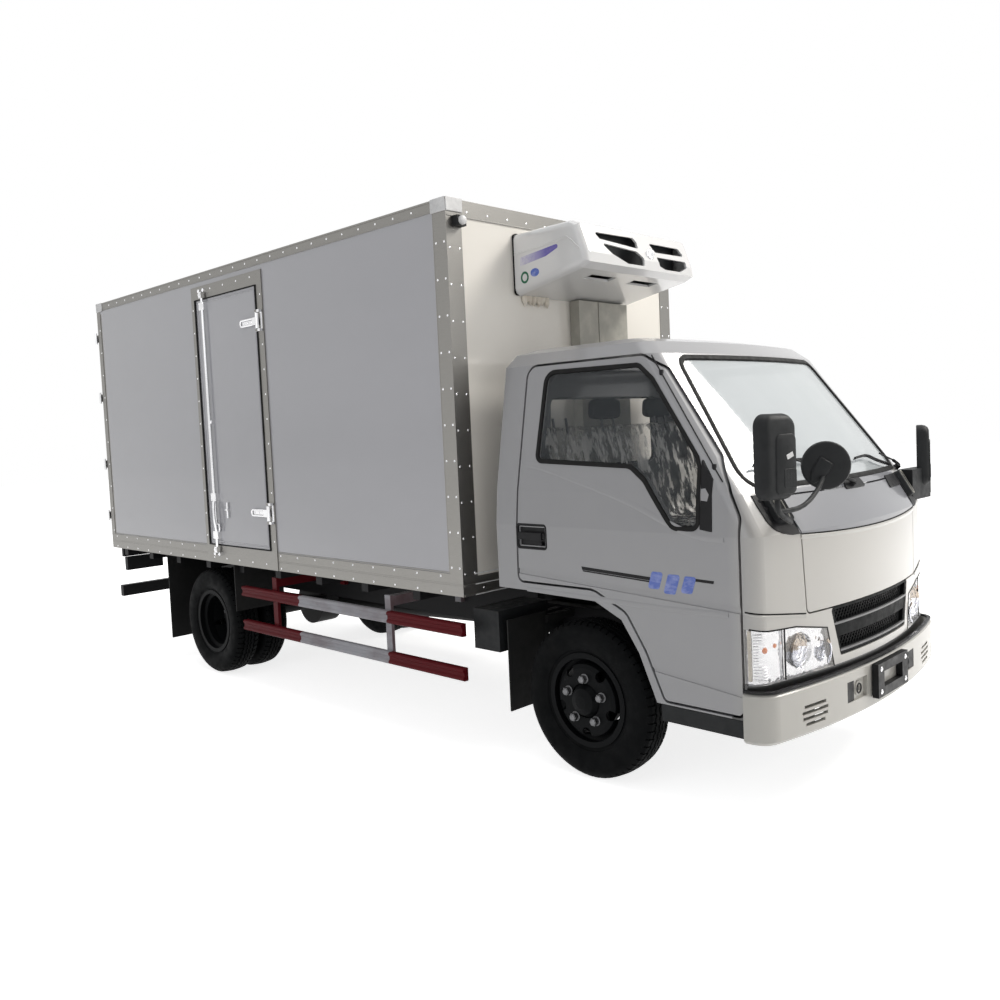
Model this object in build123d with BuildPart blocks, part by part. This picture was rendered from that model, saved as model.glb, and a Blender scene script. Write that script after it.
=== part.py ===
"""Light cab-over refrigerated truck, right side carrying the load-space door.

Frame: +X forward, +Y to the truck's left, +Z up, millimetres. The origin is on the ground under the
centre of the overall length. Every body panel, door, wheel and running-gear piece is its own solid.
"""
import os
from math import cos, radians, sin, sqrt

from build123d import *

os.makedirs("parts", exist_ok=True)

# ------------------------------------------------------------------ driving sizes
overall_length = 6060
wheelbase = 3360
front_overhang = 1120  # out to the mirrors
gap = 7  # shut line between a moving panel and what frames it
clearance = 12  # between separate fixed pieces

front_axle_x = overall_length / 2 - front_overhang
rear_axle_x = front_axle_x - wheelbase

# wheels
tyre_radius = 372
tyre_width = 185
front_tyre_y = 722
kingpin_y = 590
dual_y = 712
dual_spacing = 222

# load box
box_setback = 655  # from the front axle back to the box's front face
box_half_width = 940
box_floor_z = 815
box_roof_z = 2788
wall = 80
floor_depth = 95
rear_hardware_depth = 35
trim_depth = 3
bottom_rail_height = 110
top_rail_height = 55
corner_rail_width = 95
box_front_x = front_axle_x - box_setback
box_rear_x = -overall_length / 2 + rear_hardware_depth
box_inner_y = box_half_width - wall
box_deck_z = box_floor_z + floor_depth
box_ceiling_z = box_roof_z - wall
rear_post_width = 52
rear_hinge_out = 12  # rear hinge axis outside the box's side
rear_door_open_limit = 265
rear_hinge_back = 22  # rear hinge axis behind the box's rear face

# side door, in the right wall
side_door_front_x = front_axle_x - 2449
side_door_rear_x = front_axle_x - 3229
side_door_bottom_z = 942
side_door_top_z = 2610
side_frame_front = 76
side_frame_rear = 56
side_frame_top = 92
side_frame_proud = 8
side_hinge_ahead = 34
side_hinge_out = 26
side_door_open_limit = 178

# cab
cab_half_width = 850
cab_wall = 45
nose_radius = 2900
nose_corner_radius = 75
cab_back_bottom_z = 872
arch_front_x = front_axle_x + 442
door_front_x = front_axle_x + 852
door_rear_x = front_axle_x - 352
door_bottom_z = 470
door_hinge_x = door_front_x + 10
door_hinge_y = cab_half_width + 2
door_open_limit = 70
cab_pivot_x = front_axle_x + 1052
cab_pivot_z = 598
cab_tilt_limit = 45
lid_half_width = 592
lid_half_bottom = 562
lid_bottom_z = 852
lid_top_z = 1326
lid_thickness = 30
lid_hinge_x = front_axle_x + 966
lid_hinge_z = lid_top_z + 6
lid_open_limit = 50
roof_split_z = 1955
door_top_z = 1940
door_gap = 11

# chassis
rail_outer_y = 350
rail_width = 60
rail_bottom_z = 530
rail_height = 160
rail_top_z = rail_bottom_z + rail_height
rail_front_x = front_axle_x + 900
rail_rear_x = box_rear_x + 90

# columns: height, nose reach ahead of the front axle, half width, back of the cab behind the front axle
cab_sections = [
    (452, 1050, 846, 490),
    (1185, 1045, cab_half_width, 490),
    (1350, 945, 838, 488),
    (1948, 492, 742, 480),
    (2008, 410, 690, 452),
    (2036, 270, 590, 390),
]


def save(name, part):
    """Label a finished piece and write it as its own STEP file."""
    part.label = name
    export_step(part, f"parts/{name}.step")


def at(x):
    """An X measured ahead of the front axle, in the part's frame."""
    return front_axle_x + x


def span(rear, front):
    """A range of X measured from the front axle."""
    return at(rear), at(front)


def bar(x_range, y_range, z_range, mode=Mode.ADD):
    """A plain box between two corners, added to the part being built."""
    size = [high - low for low, high in (x_range, y_range, z_range)]
    middle = [(high + low) / 2 for low, high in (x_range, y_range, z_range)]
    with Locations(tuple(middle)):
        Box(*size, mode=mode)


def both_bars(x_range, y_range, z_range, mode=Mode.ADD):
    """The same box on both sides of the truck."""
    bar(x_range, y_range, z_range, mode)
    bar(x_range, (-y_range[1], -y_range[0]), z_range, mode)


def rod(start, end, radius, mode=Mode.ADD):
    """A round bar between two points."""
    axis = Vector(*end) - Vector(*start)
    with BuildSketch(Plane(origin=start, z_dir=axis)) as disc:
        Circle(radius)
    extrude(disc.sketch, amount=axis.length, mode=mode)


def mirrored(part):
    """The same piece on the truck's other side."""
    return mirror(part, about=Plane.XZ)


def side_prism(points, y_near, y_far, radii=0, grow=0):
    """An outline drawn in X and Z, carried across the truck from y_near to y_far (y_far is lower)."""
    with BuildPart(mode=Mode.PRIVATE) as prism:
        with BuildSketch(Plane.XZ.offset(-y_far)):
            with BuildLine():
                if radii:
                    FilletPolyline(*points, radius=radii, close=True)
                else:
                    Polyline(*points, close=True)
            make_face()
            if grow:
                offset(amount=grow, kind=Kind.INTERSECTION)
        extrude(amount=y_far - y_near)
    return prism.part


def front_prism(points, x_near, x_far, radii=0, grow=0):
    """An outline drawn in Y and Z, carried forward from x_near to x_far."""
    with BuildPart(mode=Mode.PRIVATE) as prism:
        with BuildSketch(Plane.YZ.offset(x_near)):
            with BuildLine():
                if radii:
                    FilletPolyline(*points, radius=radii, close=True)
                else:
                    Polyline(*points, close=True)
            make_face()
            if grow:
                offset(amount=grow, kind=Kind.INTERSECTION)
        extrude(amount=x_far - x_near)
    return prism.part


def turned(profile, x, z):
    """A ring turned about a line across the truck: profile gives (radius, y) corners."""
    with BuildSketch(Plane.XY) as ring:
        with BuildLine():
            Polyline(*profile, close=True)
        make_face()
    with BuildPart(mode=Mode.PRIVATE) as made:
        add(ring.sketch)
        revolve(axis=Axis.Y)
    return Location((x, 0, z)) * made.part


# ------------------------------------------------------------------ cab skin
def nose_sag(y, radius):
    """How far the bowed nose falls back at a distance y from the middle."""
    return radius - sqrt(radius**2 - y**2)


def cab_solid(inset, bottom_drop=0):
    """The cab's outside shape, drawn in by inset all round, as ruled spans between plan outlines."""
    with BuildPart(mode=Mode.PRIVATE) as solid:
        last = len(cab_sections) - 1
        for i, (height, reach, half, back) in enumerate(cab_sections):
            z = height - bottom_drop if i == 0 else height
            if i == last:
                z = height - inset
            half = half - inset
            nose_x = at(reach - inset)
            corner_x = nose_x - nose_sag(half, nose_radius)
            back_x = at(inset - back)
            with BuildSketch(Plane.XY.offset(z)) as outline:
                with BuildLine():
                    ThreePointArc((corner_x, -half), (nose_x, 0), (corner_x, half))
                    Line((corner_x, half), (back_x, half))
                    Line((back_x, half), (back_x, -half))
                    Line((back_x, -half), (corner_x, -half))
                make_face()
                fillet(outline.vertices().group_by(Axis.X)[-1], nose_corner_radius - inset)
        loft(ruled=True)
    return solid.part


def ahead(points):
    """Corners given ahead of the front axle, moved into the part's frame."""
    return [(at(x), z) for x, z in points]


def skin_piece(outer_inset, inner_inset, zone):
    """The part of a layer of the cab's skin that lies within a zone."""
    return (cab_solid(outer_inset) & zone) - cab_solid(inner_inset, bottom_drop=20)


skin_outer = cab_solid(0)
skin_inner = cab_solid(cab_wall, bottom_drop=20)
cab_room = cab_solid(cab_wall + clearance)
cab_shell = skin_outer - skin_inner

door_rear_off = door_rear_x - front_axle_x
door_front_off = door_front_x - front_axle_x
arch_front_off = arch_front_x - front_axle_x
side_reach = cab_half_width + 60
arch_outline = ahead([
    (-700, 300),
    (-700, cab_back_bottom_z),
    (95, cab_back_bottom_z - 4),
    (262, 790),
    (352, 655),
    (arch_front_off, 440),
    (arch_front_off, 300),
])
door_outline = ahead([
    (door_rear_off, 915),
    (door_rear_off + 26, door_top_z),
    (350, door_top_z),
    (446, 1878),
    (722, 1500),
    (790, 1380),
    (door_front_off, 1255),
    (door_front_off, door_bottom_z),
    (arch_front_off + 40, door_bottom_z),
    (392, 672),
    (292, 830),
    (110, 915),
])
door_radii = [30, 60, 50, 60, 150, 60, 90, 25, 25, 300, 90, 120]
window_outline = ahead([
    (-232, 1492),
    (-205, 1905),
    (330, 1900),
    (408, 1835),
    (655, 1500),
    (668, 1460),
    (668, 1212),
    (545, 1207),
    (400, 1405),
    (318, 1466),
])
window_radii = [30, 55, 40, 40, 20, 20, 30, 60, 90, 70]
windscreen_outline = [(-742, 1368), (-614, 1930), (614, 1930), (742, 1368)]
rear_window_outline = [(-480, 1420), (-470, 1800), (470, 1800), (480, 1420)]
lid_outline = [
    (-lid_half_bottom, lid_bottom_z),
    (-lid_half_width, lid_top_z),
    (lid_half_width, lid_top_z),
    (lid_half_bottom, lid_bottom_z),
]
grille_outline = [(-345, 636), (-408, 848), (408, 848), (345, 636)]
lamp_outline = [(400, 606), (441, 768), (640, 803), (900, 826), (900, 598)]

door_y = -560
glass_depth = (7, 12)
arch_cut = side_prism(arch_outline, -side_reach, side_reach)
door_hole = side_prism(door_outline, -side_reach, door_y, door_radii, grow=door_gap)
door_body = side_prism(door_outline, -side_reach, door_y, door_radii)
window_hole = side_prism(window_outline, -side_reach, door_y, window_radii)
window_pane = side_prism(window_outline, -side_reach, door_y, window_radii, grow=-1)
windscreen_hole = front_prism(windscreen_outline, at(300), at(1100), 70)
windscreen_pane = front_prism(windscreen_outline, at(300), at(1100), 70, grow=-1)
rear_window_hole = front_prism(rear_window_outline, at(-600), at(-300), 50)
rear_window_pane = front_prism(rear_window_outline, at(-600), at(-300), 50, grow=-1)
lid_hole = front_prism(lid_outline, at(700), at(1100), 20, grow=gap)
lid_body = front_prism(lid_outline, at(700), at(1100), 20)
grille_hole = front_prism(grille_outline, at(800), at(1100), 16)
grille_body = front_prism(grille_outline, at(800), at(1100), 16, grow=-1)
lamp_hole = front_prism(lamp_outline, at(door_front_off + 14), at(1100))
lamp_body = front_prism(lamp_outline, at(door_front_off + 15), at(1100), grow=-1)

cab_frame = cab_shell - arch_cut - door_hole - mirrored(door_hole)
roof_zone = Pos(at(300), 0, roof_split_z + 200) * Box(2400, 2000, 400)
back_zone = Pos(at(-425 - 200), 0, 1200) * Box(400, 2000, 2 * (roof_split_z - 1200))

# ------------------------------------------------------------------ cab panels
with BuildPart() as cab_roof:
    add(cab_frame)
    add(roof_zone, mode=Mode.INTERSECT)
save("cab_roof", cab_roof.part)

with BuildPart() as cab_back_panel:
    add(cab_frame)
    add(back_zone, mode=Mode.INTERSECT)
    add(rear_window_hole, mode=Mode.SUBTRACT)
save("cab_back_panel", cab_back_panel.part)

bumper_notch_half = 372
bumper_notch_top_z = 534
with BuildPart() as cab_front_frame:
    add(cab_frame)
    bar(span(900, 1060), (-bumper_notch_half, bumper_notch_half), (440, bumper_notch_top_z), mode=Mode.SUBTRACT)
    add(roof_zone, mode=Mode.SUBTRACT)
    add(back_zone, mode=Mode.SUBTRACT)
    add(windscreen_hole, mode=Mode.SUBTRACT)
    add(lid_hole, mode=Mode.SUBTRACT)
    add(grille_hole, mode=Mode.SUBTRACT)
    add(lamp_hole, mode=Mode.SUBTRACT)
    add(mirrored(lamp_hole), mode=Mode.SUBTRACT)
save("cab_front_frame", cab_front_frame.part)

with BuildPart() as cab_glass:
    add(skin_piece(*glass_depth, windscreen_pane))
    add(skin_piece(*glass_depth, rear_window_pane))
save("cab_glass", cab_glass.part)

with BuildPart() as front_lid:
    add(skin_piece(0, lid_thickness, lid_body))
save("front_lid", front_lid.part)

crease_depth = 7
crease_lines = [
    [(-520, 985), (900, 905), (900, 878), (-520, 958)],
    [(300, 616), (900, 554), (900, 540), (300, 600)],
]
crease_y = cab_half_width - crease_depth
with BuildPart() as door_right_panel:
    add(cab_shell)
    add(door_body, mode=Mode.INTERSECT)
    add(window_hole, mode=Mode.SUBTRACT)
    for line in crease_lines:
        add(side_prism(ahead(line), -side_reach, -crease_y), mode=Mode.SUBTRACT)
    bar(span(-350, -165), (-side_reach, -842), (1076, 1188), mode=Mode.SUBTRACT)
    bar(span(-338, -177), (-side_reach, -826), (1088, 1176), mode=Mode.SUBTRACT)
    bar(span(-326, -190), (-858, -836), (1122, 1148))
    for x in (-322, -206):
        bar(span(x, x + 12), (-850, -824), (1122, 1148))
save("door_right_panel", door_right_panel.part)
save("door_left_panel", mirrored(door_right_panel.part))

with BuildPart() as door_right_glass:
    add(skin_piece(*glass_depth, window_pane))
save("door_right_glass", door_right_glass.part)
save("door_left_glass", mirrored(door_right_glass.part))

mesh_bands = [(662, 714, 4), (780, 832, 4)]  # bottom, top, rows of holes
mesh_pitch = 25
mesh_hole = 13.5
mesh_margin = 34
mesh_depth = 22
grille_reach = 1043
grille_depth = 30
grille_span = 440
grille_bottom_z = grille_outline[0][1]
grille_half_bottom = grille_outline[-1][0]
grille_slope = (grille_outline[2][0] - grille_half_bottom) / (grille_outline[1][1] - grille_bottom_z)


def grille_half(z, margin):
    """Half the grille's width at a height, less a margin."""
    return grille_half_bottom + (z - grille_bottom_z) * grille_slope - margin


with BuildPart() as grille_bow:
    with BuildSketch(Plane.XY.offset(600)):
        with BuildLine():
            ends = []
            for reach, side in ((grille_reach, 1), (grille_reach - grille_depth, -1)):
                edge_x = at(reach) - nose_sag(grille_span, nose_radius)
                ends.append(edge_x)
                ThreePointArc((edge_x, -grille_span * side), (at(reach), 0), (edge_x, grille_span * side))
            Line((ends[0], grille_span), (ends[1], grille_span))
            Line((ends[0], -grille_span), (ends[1], -grille_span))
        make_face()
    extrude(amount=300)

hole_centres = []
for low, high, rows in mesh_bands:
    for row in range(rows):
        z = low + (row + 0.5) * (high - low) / rows
        half = grille_half(z, mesh_margin)
        first = mesh_pitch * (0.25 + (row % 2) / 2) - half
        hole_centres += [(first + k * mesh_pitch, z) for k in range(int(2 * half / mesh_pitch))]
with BuildPart() as grille_mesh:
    with BuildSketch(Plane.YZ.offset(at(900))):
        with Locations(*hole_centres):
            Rectangle(mesh_hole, mesh_hole, rotation=45)
    extrude(amount=250)

with BuildPart() as grille_backing:
    with Locations((at(grille_reach + 4 - mesh_depth - nose_radius), 0, 700)):
        Cylinder(nose_radius, 400)

with BuildPart() as grille:
    add(grille_bow.part)
    add(grille_body, mode=Mode.INTERSECT)
    add(grille_mesh.part, mode=Mode.SUBTRACT)
    for low, high, rows in mesh_bands:
        corners = [(grille_half(z, mesh_depth), edge) for z, edge in ((low, low - 3), (high, high + 3))]
        band = [(-y, z) for y, z in corners] + corners[::-1]
        add(front_prism(band, at(800), at(1100), 6) - grille_backing.part, mode=Mode.SUBTRACT)
save("grille", grille.part)

with BuildPart() as headlamp_lenses:
    add(skin_piece(1, 5, lamp_body))
    add(mirrored(headlamp_lenses.part))
save("headlamp_lenses", headlamp_lenses.part)

lamp_split_y = 704
lamp_divider = [(lamp_split_y, 607), (lamp_split_y, 803), (lamp_split_y + 8, 803), (lamp_split_y + 8, 607)]
bowls = [(597, 702, 76, 46), (468, 668, 34, 20)]  # y, z, mouth radius, floor radius
with BuildPart() as lamp_bowls:
    for y, z, radius, floor_radius in bowls:
        with Locations(Location((at(1020) - nose_sag(y, nose_radius), y, z), (0, 90, 0))):
            Cone(floor_radius, radius, 62)

with BuildPart() as headlamp_units:
    add(skin_piece(14, 42, lamp_body))
    add(lamp_bowls.part, mode=Mode.SUBTRACT)
    for y, z, radius, floor_radius in bowls:
        x = at(1050) - nose_sag(y, nose_radius)
        rod((x - 46, y, z), (x - 20, y, z), 13)
    add(skin_piece(7, 20, front_prism(lamp_divider, at(door_front_off + 15), at(1100))))
    add(mirrored(headlamp_units.part))
save("headlamp_units", headlamp_units.part)

# ------------------------------------------------------------------ cab inside
front_floor_z = 735
rear_floor_z = 880
floor_plate = 28
well_x = arch_front_off + 16
well_y = 630
with BuildPart() as cab_floor:
    bar(span(cab_wall - 486, 262), (-780, 780), (rear_floor_z, rear_floor_z + floor_plate))
    bar(span(262, 262 + floor_plate), (-780, 780), (front_floor_z, rear_floor_z + floor_plate))
    bar(span(262, 860), (-well_y, well_y), (front_floor_z, front_floor_z + floor_plate))
    both_bars(span(262, well_x + 12), (well_y - 1, 780), (front_floor_z, front_floor_z + floor_plate))
    both_bars(span(well_x, well_x + 12), (well_y - 12, 780), (478, front_floor_z + 1))
    both_bars(span(well_x, 840), (well_y - 12, well_y), (478, front_floor_z + 1))
    both_bars(span(well_x, 840), (well_y - 12, 780), (466, 486))
    add(cab_room, mode=Mode.INTERSECT)
save("cab_floor", cab_floor.part)

dash_outline = ahead([(690, 1010), (660, 1165), (700, 1225), (880, 1240), (1100, 1180), (1100, 1010)])
with BuildPart() as dashboard:
    add(side_prism(dash_outline, -800, 800))
    add(cab_solid(cab_wall + 16), mode=Mode.INTERSECT)
save("dashboard", dashboard.part)

seat_rows = [("driver", 395, 480), ("passenger", -270, 820)]
cushion = [(-285, 1010), (-285, 1095), (150, 1130), (215, 1100), (215, 1010)]
backrest = [(-300, 1085), (-420, 1600), (-385, 1640), (-335, 1625), (-190, 1100)]
headrest = [(-405, 1668), (-418, 1790), (-362, 1796), (-336, 1676)]
headrest_width = 250
headrests = [395, -480, -90]
with BuildPart() as seats:
    for label, middle, width in seat_rows:
        add(side_prism(ahead(cushion), middle - width / 2, middle + width / 2))
        add(side_prism(ahead(backrest), middle - width / 2, middle + width / 2))
    for label, middle, width in seat_rows:
        bar(span(-260, 180), (middle - width / 2 + 20, middle + width / 2 - 20), (rear_floor_z + floor_plate, 1010))
    for y in headrests:
        add(side_prism(ahead(headrest), y - headrest_width / 2, y + headrest_width / 2, 20))
        for side in (-50, 50):
            rod((at(-362), y + side, 1630), (at(-376), y + side, 1690), 7)
save("seats", seats.part)

steering_centre = (at(415), 395, 1330)
column_tilt = radians(32)
steering_axis = (-sin(column_tilt), 0, cos(column_tilt))
steering_plane = Plane(origin=steering_centre, x_dir=(0, 1, 0), z_dir=steering_axis)
with BuildPart() as steering_wheel:
    with BuildSketch(Plane(origin=steering_centre, x_dir=steering_plane.z_dir, z_dir=steering_plane.x_dir)):
        with Locations((0, 205)):
            Circle(15)
    revolve(axis=Axis(steering_centre, steering_plane.z_dir))
    with BuildSketch(steering_plane.offset(-24)):
        Circle(58)
    extrude(amount=30)
    with BuildSketch(steering_plane.offset(-10)):
        with PolarLocations(0, 3, start_angle=30):
            with Locations((115, 0)):
                Rectangle(190, 34)
    extrude(amount=10)
    rod(steering_centre, tuple(Vector(*steering_centre) - steering_plane.z_dir * 330), 34)
    add(dashboard.part, mode=Mode.SUBTRACT)
save("steering_wheel", steering_wheel.part)

# ------------------------------------------------------------------ cab outside trim
sill_x = span(well_x + 2, door_front_off + 8)
with BuildPart() as cab_trim:
    both_bars(sill_x, (806, 845), (378, 449))
    both_bars(sill_x, (735, 830), (378, 402))
    both_bars(sill_x, (735, 775), (378, 464))
save("cab_trim", cab_trim.part)

# ------------------------------------------------------------------ bumper and mirrors
bumper_tip = 1080
bumper_bow_radius = 3500
bumper_bottom_z = 370
bumper_top_z = 575
bumper_half = 876
bumper_wall = 20
bumper_end_off = 868


def bumper_plan(inset, z):
    """The bumper's bowed plan outline at a height, drawn in by inset."""
    nose_x = at(bumper_tip - inset)
    half = bumper_half - inset
    corner_x = nose_x - nose_sag(half, bumper_bow_radius)
    with BuildSketch(Plane.XY.offset(z)) as outline:
        with BuildLine():
            ThreePointArc((corner_x, -half), (nose_x, 0), (corner_x, half))
            Line((corner_x, half), (at(500), half))
            Line((at(500), half), (at(500), -half))
            Line((at(500), -half), (corner_x, -half))
        make_face()
        fillet(outline.vertices().group_by(Axis.X)[-1], nose_corner_radius + 25 - inset)
    return outline.sketch


recess_half = 90
recess_back = 1053
recess_y = 280
recess_z = (430, 534)
tow_y = 262
tow_z = 482
tow_disc_reach = 12
tow_hole_radius = 12
vent_slots = [(410, 588, 62), (434, 588, 80), (458, 588, 84), (482, 588, 70)]  # bottom, middle, half length
with BuildPart() as bumper_shape:
    add(bumper_plan(0, bumper_bottom_z))
    extrude(amount=bumper_top_z - bumper_bottom_z)
    chamfer(bumper_shape.edges().filter_by_position(Axis.Z, bumper_bottom_z - 1, bumper_bottom_z + 1), 14)
    chamfer(bumper_shape.edges().filter_by_position(Axis.Z, bumper_top_z - 1, bumper_top_z + 1), 12)

with BuildPart() as bumper_hollow:
    add(bumper_plan(bumper_wall, bumper_bottom_z - 5))
    extrude(amount=bumper_top_z - bumper_bottom_z + 10)

with BuildPart() as front_bumper:
    add(bumper_shape.part)
    add(bumper_hollow.part, mode=Mode.SUBTRACT)
    bar(span(400, bumper_end_off), (-900, 900), (300, 600), mode=Mode.SUBTRACT)
    both_bars(span(880, bumper_tip - bumper_wall + 1), (290, 350), (395, 437))
    both_bars(span(800, 880), (290, 350), (395, rail_bottom_z))
    for low, middle, half in vent_slots:
        both_bars(span(860, 1100), (middle - half, middle + half), (low, low + 13), mode=Mode.SUBTRACT)
    inside_y = (recess_y + 8 - recess_half, recess_y - 8 + recess_half)
    inside_z = (recess_z[0] + 8, recess_z[1] - 8)
    both_bars(span(1000, 1100), inside_y, inside_z, mode=Mode.SUBTRACT)
    both_bars(span(recess_back, 1100), (recess_y - recess_half, recess_y + recess_half), recess_z)
    add(bumper_shape.part, mode=Mode.INTERSECT)
    both_bars(span(recess_back + 6, 1100), inside_y, inside_z, mode=Mode.SUBTRACT)
    for y in (-tow_y, tow_y):
        rod((at(recess_back + 5), y, tow_z), (at(recess_back + tow_disc_reach), y, tow_z), 30)
        rod((at(recess_back - 10), y, tow_z), (at(recess_back + 30), y, tow_z), tow_hole_radius, mode=Mode.SUBTRACT)
save("front_bumper", front_bumper.part)

plate_middle_y = 2
plate_middle_z = 491
plate_width = 325
plate_height = 148
plate_bolt_y = 265
plate_bolt_z = 100
plate_hole_radius = 4
with BuildPart() as pad_hollow:
    add(bumper_plan(bumper_wall, 570))
    extrude(amount=20)

with BuildPart() as bumper_pad:
    add(bumper_plan(2, 575))
    extrude(amount=9)
    add(pad_hollow.part, mode=Mode.SUBTRACT)
    bar(span(400, bumper_end_off), (-900, 900), (500, 600), mode=Mode.SUBTRACT)
    plate_y = (plate_middle_y - plate_width / 2, plate_middle_y + plate_width / 2)
    plate_z = (plate_middle_z - plate_height / 2, plate_middle_z + plate_height / 2)
    window_y = (plate_y[0] + 62, plate_y[1] - 62)
    window_z = (plate_z[0] + 40, plate_z[1] - 40)
    bar(span(bumper_tip + 2, bumper_tip + 30), plate_y, plate_z)
    bar(span(bumper_tip, bumper_tip + 40), window_y, window_z, mode=Mode.SUBTRACT)
    for y in (plate_middle_y - plate_bolt_y / 2, plate_middle_y + plate_bolt_y / 2):
        for z in (plate_middle_z - plate_bolt_z / 2, plate_middle_z + plate_bolt_z / 2):
            rod((at(bumper_tip), y, z), (at(bumper_tip + 40), y, z), plate_hole_radius, mode=Mode.SUBTRACT)
save("bumper_pad", bumper_pad.part)

mirror_width = 165
mirror_height = 316
mirror_depth = 62
passenger_mirror = (at(1080), -955, 1505)
driver_mirror = (at(925), 900, 1415)
passenger_turn = -15  # degrees about the vertical
driver_turn = 20
round_turn = -53
round_mirror_centre = (at(1050), -486, 1446)
round_mirror_radius = 98
round_mirror_depth = 30
arm_radius = 10
elbow_radius = 12.5
pod_outline = [(895, 1222), (870, 1345), (1000, 1345), (1046, 1222)]
pod_y = (606, 700)
main_arm = [(at(950), -660, 1250), (at(1046), -790, 1245), (at(1070), -930, 1310), (at(1078), -948, 1400)]
round_arm = [(at(1066), -925, 1300), (at(1078), -720, 1318), (at(1052), -520, 1400)]
with BuildPart() as mirror_housing:
    Box(mirror_depth, mirror_width, mirror_height)
    fillet(mirror_housing.edges().filter_by(Axis.X), 40)
    chamfer(mirror_housing.faces().sort_by(Axis.X)[-1].edges(), 16)

with BuildPart() as mirror_pods:
    add(cab_solid(-26) & side_prism(ahead(pod_outline), *pod_y, 12))
    add(mirrored(mirror_pods.part))

with BuildPart() as driver_bracket:
    bar(span(870, 950), (690, 965), (1195, 1355))
    fillet(driver_bracket.edges(), 12)

with BuildPart() as mirrors:
    add(Pos(*passenger_mirror) * Rot(0, 0, passenger_turn) * mirror_housing.part)
    add(Pos(*driver_mirror) * Rot(0, 0, driver_turn) * mirror_housing.part)
    with Locations(Pos(*round_mirror_centre) * Rot(0, 0, round_turn) * Rot(0, 90, 0)):
        Cylinder(round_mirror_radius, round_mirror_depth)
    for start, end in zip(main_arm, main_arm[1:]):
        rod(start, end, arm_radius)
    for start, end in zip(round_arm, round_arm[1:]):
        rod(start, end, arm_radius - 2)
    with Locations(*main_arm[1:3]):
        Sphere(elbow_radius)
    with Locations(round_arm[1]):
        Sphere(elbow_radius - 2)
    add(driver_bracket.part)
    add(mirror_pods.part)
    add(cab_solid(-1), mode=Mode.SUBTRACT)
save("mirrors", mirrors.part)

# ------------------------------------------------------------------ chassis
rail_inner_y = rail_outer_y - rail_width
web = 9
subframe_top_z = rail_top_z + 65
bearer_count = 9
bearer_pitch = 460
cross_members = [820, -420, -1150, -1850, -2500, -3050, -3660, -4300, -4800]
with BuildPart() as ladder_frame:
    both_bars((rail_rear_x, rail_front_x), (rail_inner_y, rail_outer_y), (rail_bottom_z, rail_top_z))
    both_bars(
        (rail_rear_x - 1, rail_front_x + 1),
        (rail_inner_y - 1, rail_outer_y - web),
        (rail_bottom_z + web, rail_top_z - web),
        mode=Mode.SUBTRACT,
    )
    for x in cross_members:
        bar(span(x - 30, x + 30), (web - rail_outer_y, rail_outer_y - web), (rail_bottom_z + 30, rail_top_z - 30))
    both_bars((rail_rear_x, at(-700)), (rail_inner_y, rail_outer_y), (rail_top_z, subframe_top_z))
    for k in range(bearer_count):
        x = rail_rear_x + 60 + k * bearer_pitch
        bar((x - 30, x + 30), (-900, 900), (subframe_top_z, box_floor_z))
save("ladder_frame", ladder_frame.part)

engine_top_z = 846
with BuildPart() as engine_block:
    bar(span(-330, 250), (-240, 240), (400, engine_top_z))
    bar(span(-360, -330), (-120, 120), (420, 600))
save("engine_block", engine_block.part)

beam_half = 530
pin_bottom_z = tyre_radius - 45
pin_top_z = tyre_radius + 45
pin_radius = 14
with BuildPart() as front_axle:
    bar(span(-35, 35), (-beam_half, beam_half), (285, 340))
    both_bars(span(-30, 30), (beam_half - 60, kingpin_y - 20), (pin_bottom_z, pin_top_z - 10))
    for y in (-kingpin_y, kingpin_y):
        with BuildSketch(Plane.XY.offset(pin_bottom_z)):
            with Locations((front_axle_x, y)):
                Circle(30)
        extrude(amount=pin_top_z - pin_bottom_z)
        with BuildSketch(Plane.XY.offset(pin_bottom_z - 60)):
            with Locations((front_axle_x, y)):
                Circle(pin_radius + 3)
        extrude(amount=300, mode=Mode.SUBTRACT)

leaf_y = (rail_inner_y, rail_outer_y)


def leaf_pack(centre, half, end_z, middle_z, thickness):
    """One pack of leaves as a bowed bar, both sides, with its hangers under the rails."""
    outline_low = ((at(centre - half), end_z), (at(centre), middle_z), (at(centre + half), end_z))
    with BuildSketch(Plane.XZ.offset(-rail_outer_y)) as bow:
        with BuildLine():
            ThreePointArc(*outline_low)
            Line((at(centre + half), end_z), (at(centre + half), end_z + thickness / 2))
            ThreePointArc(
                (at(centre + half), end_z + thickness / 2),
                (at(centre), middle_z + thickness),
                (at(centre - half), end_z + thickness / 2),
            )
            Line((at(centre - half), end_z + thickness / 2), (at(centre - half), end_z))
        make_face()
    extrude(bow.sketch, amount=rail_width)
    for x in (centre - half, centre + half):
        bar(span(x - 30, x + 30), leaf_y, (end_z - 5, rail_bottom_z))


axle_radius = 48
with BuildPart() as leaf_springs:
    leaf_pack(0, 560, 490, 340, 44)
    leaf_pack(-wheelbase, 640, 478, tyre_radius + axle_radius, 62)
    add(mirrored(leaf_springs.part))
save("leaf_springs", leaf_springs.part)

hub_bore = 36
spindle_radius = 32
rear_hub_y = 500
with BuildPart() as rear_axle:
    rod((rear_axle_x, -rear_hub_y + 10, tyre_radius), (rear_axle_x, rear_hub_y - 10, tyre_radius), axle_radius)
    rod((rear_axle_x, -755, tyre_radius), (rear_axle_x, 755, tyre_radius), spindle_radius)
    rod((rear_axle_x, -90, tyre_radius), (rear_axle_x, 90, tyre_radius), 165)
    rod((rear_axle_x, 0, tyre_radius), (rear_axle_x + 260, 0, tyre_radius + 10), 70)
    rod((rear_axle_x + 250, 0, tyre_radius + 10), (at(-364), 0, 500), 38)
save("axles", Compound(children=[front_axle.part, rear_axle.part]))

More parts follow.
